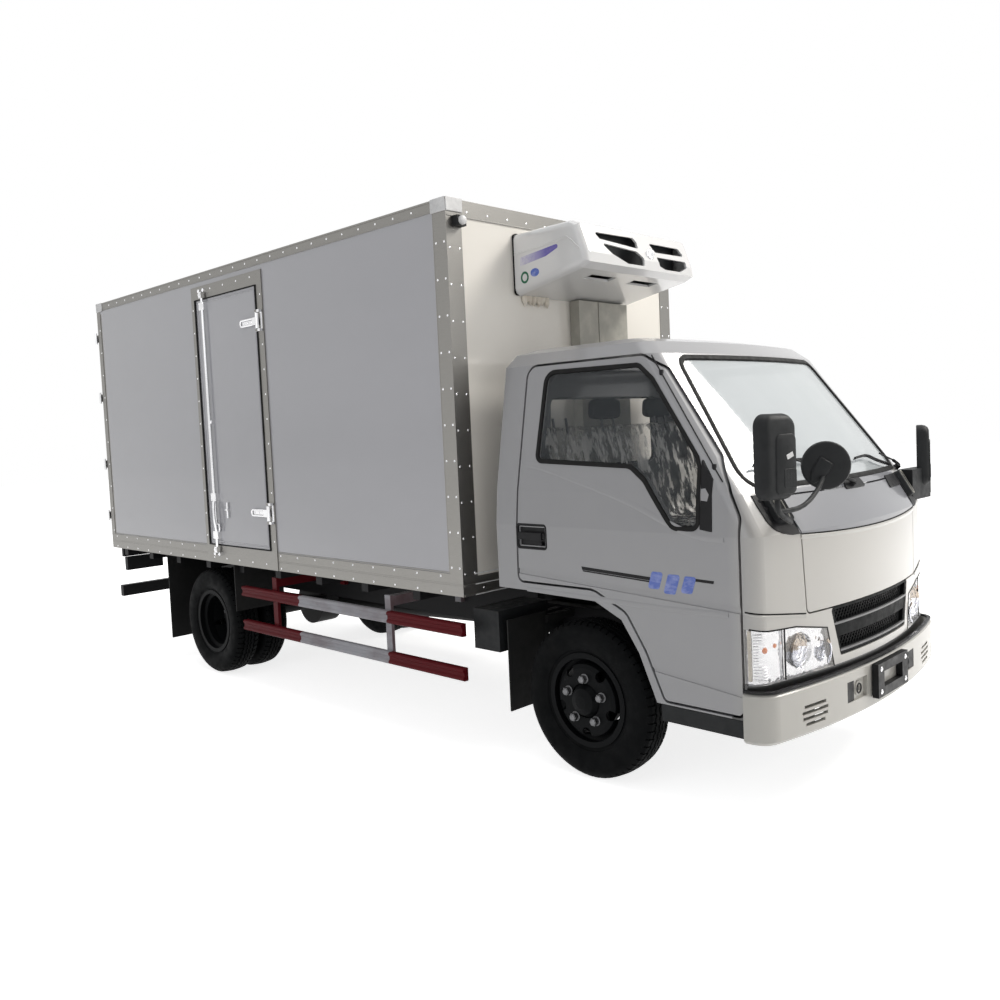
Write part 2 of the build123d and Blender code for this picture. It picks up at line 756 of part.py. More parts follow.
with BuildPart() as fuel_tank:
    bar(span(-2450, -1700), (400, 800), (385, 680))
    fillet(fuel_tank.edges().filter_by(Axis.X), 60)
    bar(span(-2300, -2250), (350, 402), (560, 680))
    bar(span(-1900, -1850), (350, 402), (560, 680))
save("fuel_tank", fuel_tank.part)

with BuildPart() as battery_box:
    bar(span(-692, -510), (-845, -480), (535, 742))
    bar(span(-680, -640), (-481, -350), (560, 680))
    bar(span(-562, -522), (-481, -350), (560, 680))
save("battery_box", battery_box.part)

# ------------------------------------------------------------------ wheels
flange_radius = 222
bead_radius = 205
tyre_half = tyre_width / 2
tyre_profile = [
    (bead_radius, -58),
    (bead_radius + 22, -66),
    (bead_radius + 70, -tyre_half),
    (tyre_radius - 42, -tyre_half),
    (tyre_radius - 14, -tyre_half + 14),
    (tyre_radius, -tyre_half + 34),
    (tyre_radius, tyre_half - 34),
    (tyre_radius - 14, tyre_half - 14),
    (tyre_radius - 42, tyre_half),
    (bead_radius + 70, tyre_half),
    (bead_radius + 22, 66),
    (bead_radius, 58),
    (bead_radius + 30, 40),
    (tyre_radius - 30, 50),
    (tyre_radius - 30, -50),
    (bead_radius + 30, -40),
]
rim_half = 76


def rim_profile(face):
    """Barrel, flanges and disc of one rim; the disc's mounting face stands face out from the middle."""
    return [
        (flange_radius, -rim_half),
        (flange_radius, -rim_half + 7),
        (bead_radius - 1, -rim_half + 14),
        (bead_radius - 1, -38),
        (bead_radius - 22, -28),
        (bead_radius - 22, 28),
        (bead_radius - 1, 38),
        (bead_radius - 1, rim_half - 14),
        (flange_radius, rim_half - 7),
        (flange_radius, rim_half),
        (bead_radius - 9, rim_half),
        (bead_radius - 9, 42),
        (bead_radius - 30, 32),
        (168, face - 12),
        (150, face),
        (82, face),
        (82, face - 10),
        (146, face - 10),
        (158, face - 22),
        (bead_radius - 30, 18),
        (bead_radius - 30, -32),
        (bead_radius - 9, -42),
        (bead_radius - 9, -rim_half),
    ]


bolt_circle = 104
bolt_count = 5
hand_hole_circle = 152
hand_hole_radius = 25


def shifted(profile, y):
    """The same profile moved across the truck."""
    return [(r, offset_y + y) for r, offset_y in profile]


def flipped(profile):
    """The same profile facing the other way."""
    return [(r, -offset_y) for r, offset_y in profile]


def rim_holes(x, y_near, y_far):
    """Hand holes through the disc."""
    for k in range(bolt_count):
        angle = radians(90 + (k + 0.5) * 360 / bolt_count)
        px = x + hand_hole_circle * cos(angle)
        pz = tyre_radius + hand_hole_circle * sin(angle)
        rod((px, y_near, pz), (px, y_far, pz), hand_hole_radius, mode=Mode.SUBTRACT)


def wheel_nuts(x, y_near, y_far, radius=15):
    """The nuts on the bolt circle."""
    for k in range(bolt_count):
        angle = radians(90 + k * 360 / bolt_count)
        px = x + bolt_circle * cos(angle)
        pz = tyre_radius + bolt_circle * sin(angle)
        rod((px, y_near, pz), (px, y_far, pz), radius)


front_face = 84
hub_outer = front_tyre_y + front_face
with BuildPart() as front_tyre:
    add(turned(shifted(tyre_profile, front_tyre_y), front_axle_x, tyre_radius))
save("front_tyre_left", front_tyre.part)
save("front_tyre_right", mirrored(front_tyre.part))

with BuildPart() as front_rim:
    add(turned(shifted(rim_profile(front_face), front_tyre_y), front_axle_x, tyre_radius))
    add(turned([
        (hub_bore, front_tyre_y - 22),
        (140, front_tyre_y - 22),
        (140, front_tyre_y + 10),
        (78, front_tyre_y + 24),
        (78, hub_outer - 20),
        (138, hub_outer - 20),
        (138, hub_outer - 10),
        (80, hub_outer - 10),
        (62, hub_outer + 24),
        (30, hub_outer + 36),
        (0, hub_outer + 38),
        (0, hub_outer + 30),
        (hub_bore, hub_outer + 20),
    ], front_axle_x, tyre_radius))
    rim_holes(front_axle_x, front_tyre_y + 30, hub_outer + 40)
    wheel_nuts(front_axle_x, hub_outer - 2, hub_outer + 26)
save("front_rim_left", front_rim.part)
save("front_rim_right", mirrored(front_rim.part))

with BuildPart() as rear_tyres:
    for side in (-1, 1):
        add(turned(shifted(tyre_profile, dual_y + side * dual_spacing / 2), rear_axle_x, tyre_radius))
save("rear_tyres_left", rear_tyres.part)
save("rear_tyres_right", mirrored(rear_tyres.part))

rear_face = dual_spacing / 2
with BuildPart() as rear_rims:
    add(turned(shifted(rim_profile(rear_face), dual_y - rear_face), rear_axle_x, tyre_radius))
    add(turned(shifted(flipped(rim_profile(rear_face)), dual_y + rear_face), rear_axle_x, tyre_radius))
    add(turned([
        (hub_bore, rear_hub_y),
        (160, rear_hub_y),
        (160, rear_hub_y + 90),
        (75, rear_hub_y + 110),
        (75, dual_y - 20),
        (138, dual_y - 20),
        (138, dual_y - 10),
        (81, dual_y - 10),
        (81, dual_y + 10),
        (76, dual_y + 50),
        (60, dual_y + 66),
        (0, dual_y + 66),
        (0, dual_y + 56),
        (hub_bore, dual_y + 50),
    ], rear_axle_x, tyre_radius))
    rim_holes(rear_axle_x, rear_hub_y + 100, dual_y + 100)
    wheel_nuts(rear_axle_x, dual_y + 8, dual_y + 36)
save("rear_rims_left", rear_rims.part)
save("rear_rims_right", mirrored(rear_rims.part))

lug_gap = 6
with BuildPart() as knuckle:
    rod((front_axle_x, kingpin_y, pin_bottom_z - 34), (front_axle_x, kingpin_y, pin_top_z + 34), pin_radius)
    for low, high in ((pin_bottom_z - 34, pin_bottom_z - lug_gap), (pin_top_z + lug_gap, pin_top_z + 34)):
        with BuildSketch(Plane.XY.offset(low)):
            with Locations((front_axle_x, kingpin_y)):
                Circle(30)
            with Locations((front_axle_x, kingpin_y + 35)):
                Rectangle(60, 60)
        extrude(amount=high - low)
    bar(span(-30, 30), (kingpin_y + 38, kingpin_y + 65), (pin_bottom_z - 34, pin_top_z + 34))
    rod((front_axle_x, kingpin_y + 60, tyre_radius), (front_axle_x, hub_outer + 16, tyre_radius), spindle_radius)
    rod((front_axle_x, kingpin_y + 50, tyre_radius), (front_axle_x, front_tyre_y - 28, tyre_radius), 120)
save("knuckle_left", knuckle.part)
save("knuckle_right", mirrored(knuckle.part))

# ------------------------------------------------------------------ load box
side_frame_front_x = side_door_front_x + side_frame_front
side_frame_rear_x = side_door_rear_x - side_frame_rear
side_frame_top_z = side_door_top_z + side_frame_top
side_opening = (
    (side_door_rear_x - gap, side_door_front_x + gap),
    (-box_half_width - 60, -box_inner_y + 60),
    (side_door_bottom_z - gap, side_door_top_z + gap),
)
rear_frame_depth = wall
side_wall_range = (box_rear_x + rear_frame_depth, box_front_x - wall)

with BuildPart() as box_floor:
    bar((box_rear_x, box_front_x), (-box_half_width, box_half_width), (box_floor_z, box_deck_z))
save("box_floor", box_floor.part)

with BuildPart() as box_roof:
    bar((box_rear_x, box_front_x), (-box_half_width, box_half_width), (box_ceiling_z, box_roof_z))
save("box_roof", box_roof.part)

with BuildPart() as box_front_wall:
    bar((box_front_x - wall, box_front_x), (-box_half_width, box_half_width), (box_deck_z, box_ceiling_z))
save("box_front_wall", box_front_wall.part)

with BuildPart() as box_right_wall:
    bar(side_wall_range, (-box_half_width, -box_inner_y), (box_deck_z, box_ceiling_z))
    bar(*side_opening, mode=Mode.SUBTRACT)
save("box_right_wall", box_right_wall.part)

with BuildPart() as box_left_wall:
    bar(side_wall_range, (box_inner_y, box_half_width), (box_deck_z, box_ceiling_z))
save("box_left_wall", box_left_wall.part)

rear_sill_z = box_deck_z + 8
rear_header_z = box_ceiling_z - 8
with BuildPart() as rear_door_frame:
    bar((box_rear_x, box_rear_x + rear_frame_depth), (-box_half_width, box_half_width), (box_deck_z, box_ceiling_z))
    bar(
        (box_rear_x - 1, box_rear_x + rear_frame_depth + 1),
        (rear_post_width - box_half_width, box_half_width - rear_post_width),
        (rear_sill_z, rear_header_z),
        mode=Mode.SUBTRACT,
    )

skin_y = (-box_half_width - trim_depth, -box_half_width)
with BuildPart() as box_trim:
    rail_z = (box_floor_z, box_floor_z + bottom_rail_height)
    top_z = (box_roof_z - top_rail_height, box_roof_z)
    for low, high in (skin_y, (box_half_width, box_half_width + trim_depth)):
        bar((box_rear_x, box_front_x), (low, high), rail_z)
        bar((box_rear_x, box_front_x), (low, high), top_z)
        bar((box_front_x - corner_rail_width, box_front_x), (low, high), (box_floor_z, box_roof_z))
        bar((box_rear_x, box_rear_x + 60), (low, high), (box_floor_z, box_roof_z))
    full_y = (-box_half_width - trim_depth, box_half_width + trim_depth)
    front_x = (box_front_x, box_front_x + trim_depth)
    bar(front_x, full_y, (box_floor_z, box_floor_z + 60))
    bar(front_x, full_y, (box_roof_z - 80, box_roof_z))
    both_bars(front_x, (box_half_width - 100, box_half_width + trim_depth), (box_floor_z, box_roof_z))
    for edge in (-box_half_width - trim_depth, box_half_width + trim_depth - 120):
        bar((box_rear_x, box_front_x + trim_depth), (edge, edge + 120), (box_roof_z, box_roof_z + trim_depth))
    bar((box_front_x - 60, box_front_x + trim_depth), full_y, (box_roof_z, box_roof_z + trim_depth))
    bar((box_rear_x, box_rear_x + 60), full_y, (box_roof_z, box_roof_z + trim_depth))
    bar(
        (side_frame_rear_x, side_frame_front_x),
        (-box_half_width - 20, -box_half_width + 20),
        (box_floor_z - 1, side_frame_top_z),
        mode=Mode.SUBTRACT,
    )
save("box_trim", box_trim.part)

side_hinge_x = side_door_front_x + side_hinge_ahead
side_hinge_y = -box_half_width - side_hinge_out
side_hinge_z = [1179, 2388]
with BuildPart() as side_door_frame:
    bar(
        (side_frame_rear_x, side_frame_front_x),
        (-box_half_width - side_frame_proud, -box_half_width),
        (box_floor_z, side_frame_top_z),
    )
    bar(*side_opening, mode=Mode.SUBTRACT)
    for z in side_hinge_z:
        for low in (z - 66, z + 52):
            bar((side_hinge_x - 12, side_hinge_x + 12), (side_hinge_y - 8, -box_half_width), (low, low + 14))
save("door_frames", Compound(children=[rear_door_frame.part, side_door_frame.part]))

# ------------------------------------------------------------------ load box doors
with BuildPart() as side_door_panel:
    leaf_y = (-box_half_width - 4, -box_inner_y)
    bar((side_door_rear_x, side_door_front_x), leaf_y, (side_door_bottom_z, side_door_top_z))
save("side_door_panel", side_door_panel.part)

side_leaf_y = -box_half_width - 4
lock_bar_x = side_door_rear_x + 124
with BuildPart() as side_door_hardware:
    for z in side_hinge_z:
        bar((side_door_front_x - 220, side_door_front_x), (side_leaf_y - 12, side_leaf_y), (z - 26, z + 26))
        bar((side_door_front_x - 20, side_hinge_x), (side_hinge_y - 6, side_leaf_y - 10), (z - 26, z + 26))
        rod((side_hinge_x, side_hinge_y, z - 44), (side_hinge_x, side_hinge_y, z + 44), 9)
    lock_bar_y = side_leaf_y - 20
    rod((lock_bar_x, lock_bar_y, side_door_bottom_z + 20), (lock_bar_x, lock_bar_y, side_door_top_z - 20), 11)
    for z in (side_door_bottom_z + 60, 1780, side_door_top_z - 60):
        bar((lock_bar_x - 34, lock_bar_x + 34), (side_leaf_y - 34, side_leaf_y), (z - 26, z + 26))
    bar((lock_bar_x - 14, lock_bar_x + 14), (side_leaf_y - 44, side_leaf_y - 30), (990, 1230))
    bar((lock_bar_x - 20, lock_bar_x + 20), (side_leaf_y - 40, side_leaf_y), (1190, 1230))
save("side_door_hardware", side_door_hardware.part)

rear_hinge_x = box_rear_x - rear_hinge_back
rear_hinge_y = box_half_width + rear_hinge_out
leaf_outer_y = box_half_width - rear_post_width - gap
leaf_inner_y = 4
rear_leaf_z = (rear_sill_z + gap, rear_header_z - gap)
with BuildPart() as rear_door_left_panel:
    bar((box_rear_x, box_rear_x + wall - 6), (leaf_inner_y, leaf_outer_y), rear_leaf_z)
save("rear_door_left_panel", rear_door_left_panel.part)
save("rear_door_right_panel", mirrored(rear_door_left_panel.part))

rear_bar_y = [250, 620]
with BuildPart() as rear_door_left_hardware:
    for z in (1080, 1500, 2040, 2520):
        bar((rear_hinge_x - 6, box_rear_x), (leaf_outer_y - 40, leaf_outer_y), (z - 30, z + 30))
        bar((rear_hinge_x - 6, rear_hinge_x + 6), (leaf_outer_y - 20, rear_hinge_y), (z - 30, z + 30))
        rod((rear_hinge_x, rear_hinge_y, z - 44), (rear_hinge_x, rear_hinge_y, z + 44), 9)
    for y in rear_bar_y:
        rod((box_rear_x - 18, y, rear_leaf_z[0] + 20), (box_rear_x - 18, y, rear_leaf_z[1] - 20), 11)
        for z in (rear_leaf_z[0] + 60, 1780, rear_leaf_z[1] - 60):
            bar((box_rear_x - 32, box_rear_x), (y - 30, y + 30), (z - 22, z + 22))
    handle_y = (rear_bar_y[0] - 12, rear_bar_y[0] + 300)
    bar((box_rear_x - rear_hardware_depth, box_rear_x - 26), handle_y, (1240, 1275))
save("rear_door_left_hardware", rear_door_left_hardware.part)
save("rear_door_right_hardware", mirrored(rear_door_left_hardware.part))

# ------------------------------------------------------------------ under the box
with BuildPart() as rear_underrun_bar:
    bar((box_rear_x + 60, box_rear_x + 110), (-930, 930), (415, 505))
    both_bars((box_rear_x + 95, box_rear_x + 145), (rail_outer_y, rail_outer_y + 40), (415, rail_top_z - 40))
save("rear_underrun_bar", rear_underrun_bar.part)

with BuildPart() as rear_lamps:
    bar((box_rear_x + 10, box_rear_x + 40), (-880, 880), (730, 800))
    both_bars((box_rear_x + 12, box_rear_x + 60), (560, 860), (615, 725))
    both_bars((box_rear_x + 25, box_rear_x + 60), (rail_inner_y, rail_outer_y), (600, 735))
    both_bars(span(-652, -610), (845, 905), (2655, 2705))
save("rear_and_marker_lamps", rear_lamps.part)

guard_rails = [606, 378]  # bottoms
guard_x = (-2863, -688)
guard_back_y = 905
guard_profile = [(0, 0), (26, 0), (35, 6), (35, 16), (27, 25), (27, 42), (35, 51), (35, 61), (26, 67), (0, 67)]
post_x = [(-1349, -1299), (-2525, -2475)]
with BuildPart() as side_guards:
    for bottom in guard_rails:
        corners = [(guard_back_y + y, bottom + z) for y, z in guard_profile]
        add(front_prism(corners, at(guard_x[0]), at(guard_x[1])))
    for rear, front in post_x:
        bar(span(rear, front), (guard_back_y - 20, guard_back_y), (guard_rails[-1], rail_top_z + 65))
        bar(span(rear, front), (380, guard_back_y), (rail_top_z + 5, rail_top_z + 60))
        bar(span(rear, front), (rail_outer_y, 381), (rail_top_z - 60, rail_top_z + 60))
    add(mirrored(side_guards.part))
save("side_guards", side_guards.part)

with BuildPart() as mud_flaps:
    both_bars(span(-470, -462), (560, 830), (240, 700))
    both_bars(span(-470, -440), (rail_outer_y, 561), (640, 680))
    both_bars(span(-470, -462), (540, 600), (640, 700))
    both_bars(span(-3960, -3950), (500, 930), (180, box_floor_z))
    both_bars(span(-2966, -2958), (560, 930), (489, box_floor_z))
save("mud_flaps", mud_flaps.part)

# ------------------------------------------------------------------ refrigeration
unit_half = 480
unit_wall = 12
unit_rear_off = 3 - box_setback
unit_crease_z = 2502
unit_outline = [
    (unit_rear_off, 2346),
    (unit_rear_off, 2668),
    (-262, 2672),
    (-212, 2650),
    (-158, unit_crease_z),
    (-152, 2452),
    (-205, 2428),
]
unit_corner_radius = 38
intakes = [
    [(-363, 2613), (-34, 2620), (-12, 2596), (-18, 2562), (-332, 2580)],
    [(-329, 2560), (-36, 2544), (8, 2512), (0, 2470), (-140, 2469), (-262, 2506)],
    [(94, 2606), (375, 2606), (400, 2576), (396, 2562), (134, 2558)],
    [(130, 2532), (408, 2532), (398, 2494), (330, 2468), (190, 2468), (142, 2482)],
]
intake_radius = 9
with BuildPart() as condenser_unit:
    add(side_prism(ahead(unit_outline), -unit_half, unit_half))
    edges = condenser_unit.edges().filter_by(Axis.Y, reverse=True)
    fillet([e for e in edges if e.center().X > at(unit_rear_off + 5)], unit_corner_radius)
    room = side_prism(ahead(unit_outline), unit_wall - unit_half, unit_half - unit_wall, grow=-unit_wall)
    add(room, mode=Mode.SUBTRACT)
    for outline in intakes:
        add(front_prism(outline, at(-230), at(-100), intake_radius), mode=Mode.SUBTRACT)
    for low, high in ((-300, -95), (60, 270)):
        bar(span(-330, -268), (low, high), (2340, 2450), mode=Mode.SUBTRACT)
    rod((at(-215), 71, 2541), (at(-166), 71, 2541), 27)
save("condenser_unit", condenser_unit.part)

with BuildPart() as condenser_core:
    bar(span(-620, -258), (-unit_half + 60, unit_half - 60), (2458, 2640))
save("condenser_core", condenser_core.part)

with BuildPart() as refrigerant_duct:
    bar(span(-652, -585), (-35, 133), (930, 2345))
    bar(span(-652, -585), (140, 404), (1400, 2345))
save("refrigerant_duct", refrigerant_duct.part)

with BuildPart() as evaporator_unit:
    bar((box_front_x - wall - 520, box_front_x - wall), (-620, 620), (box_ceiling_z - 210, box_ceiling_z))
save("evaporator_unit", evaporator_unit.part)
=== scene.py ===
"""Looks of the refrigerated truck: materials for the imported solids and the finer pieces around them."""
from math import asin, cos, exp, pi, radians, sin, sqrt, tan

import bmesh
import bpy
from mathutils import Matrix, Vector, noise


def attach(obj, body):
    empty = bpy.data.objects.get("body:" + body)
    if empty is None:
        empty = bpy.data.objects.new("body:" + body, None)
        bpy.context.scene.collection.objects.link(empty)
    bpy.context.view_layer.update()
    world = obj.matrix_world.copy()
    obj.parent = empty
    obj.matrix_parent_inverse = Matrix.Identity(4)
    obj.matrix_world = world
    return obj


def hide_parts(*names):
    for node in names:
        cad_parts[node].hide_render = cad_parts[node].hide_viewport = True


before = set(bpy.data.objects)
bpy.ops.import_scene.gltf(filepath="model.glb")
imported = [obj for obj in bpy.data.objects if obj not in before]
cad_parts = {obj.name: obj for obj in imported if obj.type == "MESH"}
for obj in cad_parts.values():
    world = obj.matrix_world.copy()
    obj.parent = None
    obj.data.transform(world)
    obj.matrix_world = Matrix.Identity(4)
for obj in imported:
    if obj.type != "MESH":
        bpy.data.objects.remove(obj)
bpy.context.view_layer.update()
scene = bpy.context.scene
scene.view_settings.view_transform = "Standard"

FA = 1.910  # front axle
RA = FA - 3.360  # rear axle
WHEEL_Z = 0.372
CAB_BACK = FA - 0.489
NOSE_RADIUS = 2.9
NOSE_BOW = 0.1725  # how the nose falls back towards its sides, per metre squared
CORNER_RADIUS = 0.075  # between the nose and the side
# height, reach ahead of the front axle, half width
CAB_SECTIONS = [
    (0.452, 1.050, 0.846), (1.185, 1.045, 0.850), (1.350, 0.945, 0.838),
    (1.948, 0.492, 0.742), (2.008, 0.410, 0.690), (2.036, 0.270, 0.590),
]
SEAM_Z = 1.159  # lower edge of the grey panel, in the middle
SEAM_BOW = 0.05  # how it rises towards its ends, per metre squared
LID_HALF = 0.597  # half width of the grey panel and the lid
# load box: outer faces of its trims and panels
BOX_FRONT = 1.258
BOX_REAR = -2.995
TRIM_Y = 0.943
PANEL_Y = 0.940


# ---------- materials
class Mat:
    """One procedural material: a Principled shader and the nodes that feed it."""

    def __init__(self, name, color, rough=0.5, metal=0.0, coat=0.0, spec=0.5, alpha=1.0):
        self.mat = bpy.data.materials.new(name)
        self.mat.use_nodes = True
        self.mat.diffuse_color = (*color, 1)
        self.tree = self.mat.node_tree
        self.bsdf = self.tree.nodes["Principled BSDF"]
        self.color = color
        self.color_out = None
        self.normal_out = None
        values = {"Base Color": (*color, 1), "Roughness": rough, "Metallic": metal, "Coat Weight": coat,
                  "Coat Roughness": 0.06, "Specular IOR Level": spec, "Alpha": alpha, "IOR": 1.5}
        for socket, value in values.items():
            self.set(socket, value)
        self.coord = self.node("ShaderNodeTexCoord").outputs["Object"]

    def node(self, kind, **props):
        n = self.tree.nodes.new(kind)
        for key, value in props.items():
            setattr(n, key, value)
        return n

    def link(self, a, b):
        self.tree.links.new(a, b)

    def set(self, socket, value):
        self.bsdf.inputs[socket].default_value = value

    def drive(self, socket, value):
        self.link(value, self.bsdf.inputs[socket])

    def math(self, op, a, b=None):
        n = self.node("ShaderNodeMath", operation=op)
        for i, v in enumerate((a, b)):
            if isinstance(v, (int, float)):
                n.inputs[i].default_value = v
            elif v is not None:
                self.link(v, n.inputs[i])
        return n.outputs[0]

    def axis(self, which):
        n = self.node("ShaderNodeSeparateXYZ")
        self.link(self.coord, n.inputs[0])
        return n.outputs["XYZ".index(which)]

    def noise(self, scale, detail=4.0, stretch=(1, 1, 1), rough=0.55):
        m = self.node("ShaderNodeMapping")
        m.inputs["Scale"].default_value = stretch
        self.link(self.coord, m.inputs[0])
        n = self.node("ShaderNodeTexNoise")
        n.inputs["Scale"].default_value = scale
        n.inputs["Detail"].default_value = detail
        n.inputs["Roughness"].default_value = rough
        self.link(m.outputs[0], n.inputs["Vector"])
        return n.outputs[0]

    def texture(self, kind, scale, **props):
        n = self.node(kind, **props)
        n.inputs["Scale"].default_value = scale
        self.link(self.coord, n.inputs["Vector"])
        return n.outputs

    def ramp(self, value, low, high, to_low=0.0, to_high=1.0):
        """A value taken from one span to another, and held at its ends."""
        n = self.node("ShaderNodeMapRange")
        self.link(value, n.inputs["Value"])
        for socket, limit in zip(("From Min", "From Max", "To Min", "To Max"), (low, high, to_low, to_high)):
            n.inputs[socket].default_value = limit
        return n.outputs[0]

    def tint(self, mask, color):
        """Blend the colour so far towards another by a mask."""
        n = self.node("ShaderNodeMix", data_type="RGBA")
        self.link(mask, n.inputs[0])
        if self.color_out is None:
            n.inputs[6].default_value = (*self.color, 1)
        else:
            self.link(self.color_out, n.inputs[6])
        n.inputs[7].default_value = (*color, 1)
        self.color_out = n.outputs[2]
        self.drive("Base Color", self.color_out)

    def mottle(self, scale, amount, dark, stretch=(1, 1, 1)):
        """Uneven colour: patches of a second colour."""
        patches = self.ramp(self.noise(scale, stretch=stretch), 0.42, 0.68)
        self.tint(self.math("MULTIPLY", patches, amount), dark)

    def vary_rough(self, scale, low, high, stretch=(1, 1, 1)):
        self.drive("Roughness", self.ramp(self.noise(scale, stretch=stretch), 0.3, 0.7, low, high))

    def bump(self, value, strength, distance):
        n = self.node("ShaderNodeBump")
        n.inputs["Strength"].default_value = strength
        n.inputs["Distance"].default_value = distance
        self.link(value, n.inputs["Height"])
        if self.normal_out is not None:
            self.link(self.normal_out, n.inputs["Normal"])
        self.normal_out = n.outputs[0]
        self.drive("Normal", self.normal_out)

    def between(self, which, low, high, soft=0.0015):
        """1 where an object coordinate lies between two values."""
        a = self.axis(which)
        return self.both(self.ramp(a, low - soft, low + soft), self.ramp(a, high + soft, high - soft))

    def both(self, *masks):
        out = masks[0]
        for m in masks[1:]:
            out = self.math("MULTIPLY", out, m)
        return out


def paint(name, color, rough=0.32, coat=0.6, flake=False, spec=0.5):
    m = Mat(name, color, rough, 0.0, coat, spec)
    m.mottle(3.0, 0.25, [c * 0.93 for c in color])
    m.bump(m.noise(260.0, 2.0), 0.05, 0.0004)
    if flake:
        m.bump(m.noise(2200.0, 1.0), 0.12, 0.0001)
    return m


def plastic(name, color, rough=0.55, grain=900.0, spec=0.5):
    m = Mat(name, color, rough, spec=spec)
    m.mottle(12.0, 0.4, [min(1, c * 1.5 + 0.004) for c in color])
    m.vary_rough(30.0, rough - 0.1, rough + 0.12)
    m.bump(m.noise(grain, 3.0), 0.25, 0.0006)
    return m


def metal(name, color, rough=0.25, brush=(1, 1, 1)):
    m = Mat(name, color, rough, 1.0)
    m.mottle(14.0, 0.35, [c * 0.8 for c in color], stretch=brush)
    m.vary_rough(40.0, rough * 0.7, rough * 1.5, stretch=brush)
    m.bump(m.noise(120.0, 5.0, stretch=brush), 0.12, 0.0006)
    return m


def cab_inside(m, depth=0.022):
    """1 on the cab's inner skin, by how far a point lies inside the outer one."""
    span = 1.2  # a float curve runs from 0 to 1
    low, high = CAB_SECTIONS[0][0], CAB_SECTIONS[-1][0]
    x, y, z = m.axis("X"), m.math("ABSOLUTE", m.axis("Y")), m.axis("Z")
    bow = m.math("MULTIPLY", m.math("MULTIPLY", y, y), NOSE_BOW)
    along = m.ramp(z, low, high)
    masks = [m.math("GREATER_THAN", x, CAB_BACK + depth), m.math("LESS_THAN", z, high - depth)]
    for column, place in ((1, m.math("ADD", m.math("SUBTRACT", x, FA), bow)), (2, y)):
        curve = m.node("ShaderNodeFloatCurve")
        points = curve.mapping.curves[0].points
        for k, row in enumerate(CAB_SECTIONS):
            spot = ((row[0] - low) / (high - low), row[column] / span)
            point = points[k] if k < 2 else points.new(*spot)
            point.location = spot
        for point in points:
            point.handle_type = "VECTOR"
        curve.mapping.update()
        m.link(along, curve.inputs["Value"])
        limit = m.math("SUBTRACT", m.math("MULTIPLY", curve.outputs[0], span), depth)
        masks.append(m.math("LESS_THAN", place, limit))
    return m.both(*masks)


SILVER = (0.315, 0.315, 0.326)
NOSE_PAINTED_LIGHT = (0.46, 0.447, 0.42)  # painted light: the silver of the nose, made lighter and warmer than SILVER because the nose faces the warm light
NOSE_START = FA + 0.80
BUMPER_TOP = 0.604


def cab_look(name):
    m = paint(name, SILVER, flake=True)
    # painted light: from NOSE_START forwards the silver blends into the lighter, warmer nose colour, a painted
    # gradient from shade to light across the corner
    m.tint(m.ramp(m.axis("X"), NOSE_START, FA + 0.95), NOSE_PAINTED_LIGHT)
    return m


def nose_zones(m):
    """The grey panel above the lid's bowed seam, and the dark behind the bumper."""
    across, z = m.axis("Y"), m.axis("Z")
    bow = m.math("MULTIPLY", m.math("MULTIPLY", across, across), SEAM_BOW)
    above_lid = m.math("GREATER_THAN", m.math("SUBTRACT", z, bow), SEAM_Z)
    ahead = m.math("GREATER_THAN", m.axis("X"), NOSE_START)
    on_panel = m.between("Y", -LID_HALF, LID_HALF, 0.0006)
    m.tint(m.both(above_lid, on_panel, ahead), (0.215, 0.22, 0.24))
    m.tint(m.both(m.math("LESS_THAN", z, BUMPER_TOP), ahead), (0.012, 0.012, 0.012))


cab_paint, cab_front = cab_look("cab_paint"), cab_look("cab_front_paint")
nose_zones(cab_front)
for m in (cab_paint, cab_front):
    m.tint(cab_inside(m), (0.075, 0.077, 0.082))
M = {
    "cab": cab_paint,
    "cab_front": cab_front,
    "bumper": paint("bumper_paint", (0.44, 0.43, 0.40), 0.38, 0.35),
    "black": plastic("black_plastic", (0.011, 0.012, 0.013), 0.5, spec=0.2),
    "trim_black": plastic("trim_black", (0.008, 0.008, 0.009), 0.4, 300.0, 0.18),
    "grille": plastic("grille_plastic", (0.008, 0.0085, 0.009), 0.5, spec=0.06),
    "grille_lip": plastic("grille_lip", (0.15, 0.15, 0.155), 0.35, spec=0.4),
    "nut": metal("nut_steel", (0.16, 0.16, 0.165), 0.4),
    "interior": plastic("interior_plastic", (0.16, 0.16, 0.17), 0.6),
    "chassis": paint("chassis_black", (0.009, 0.009, 0.01), 0.5, 0.0, spec=0.15),
    "cast": paint("cast_metal", (0.03, 0.03, 0.03), 0.6, 0.0, spec=0.2),
    "rim": paint("rim_black", (0.0035, 0.004, 0.0045), 0.5, 0.0, spec=0.07),
    "chrome": metal("chrome", (0.82, 0.82, 0.83), 0.1),
    "alu": metal("aluminium_trim", (0.26, 0.253, 0.238), 0.36, (1, 40, 40)),
    "core": plastic("core_dark", (0.02, 0.021, 0.023), 0.45, spec=0.25),
    "duct": plastic("duct_grey", (0.36, 0.35, 0.31), 0.5),
    "lamp_white": plastic("lamp_white", (0.7, 0.7, 0.7), 0.25, 60.0),
    "amber": plastic("amber_bulb", (0.75, 0.2, 0.03), 0.15, 60.0),
    "cream": plastic("cream_reflector", (0.55, 0.5, 0.42), 0.3, 200.0),
    "foam": plastic("sealing_foam", (0.75, 0.69, 0.6), 0.9, 90.0),
    "seat": plastic("seat_cloth", (0.035, 0.037, 0.042), 0.85, 700.0, 0.2),
    "flap": plastic("flap_rubber", (0.012, 0.012, 0.012), 0.6, 60.0, 0.15),
    "rubber": plastic("seal_rubber", (0.008, 0.008, 0.008), 0.6, 400.0, 0.15),
    "green": plastic("green_ring", (0.01, 0.12, 0.06), 0.4, 60.0),
}

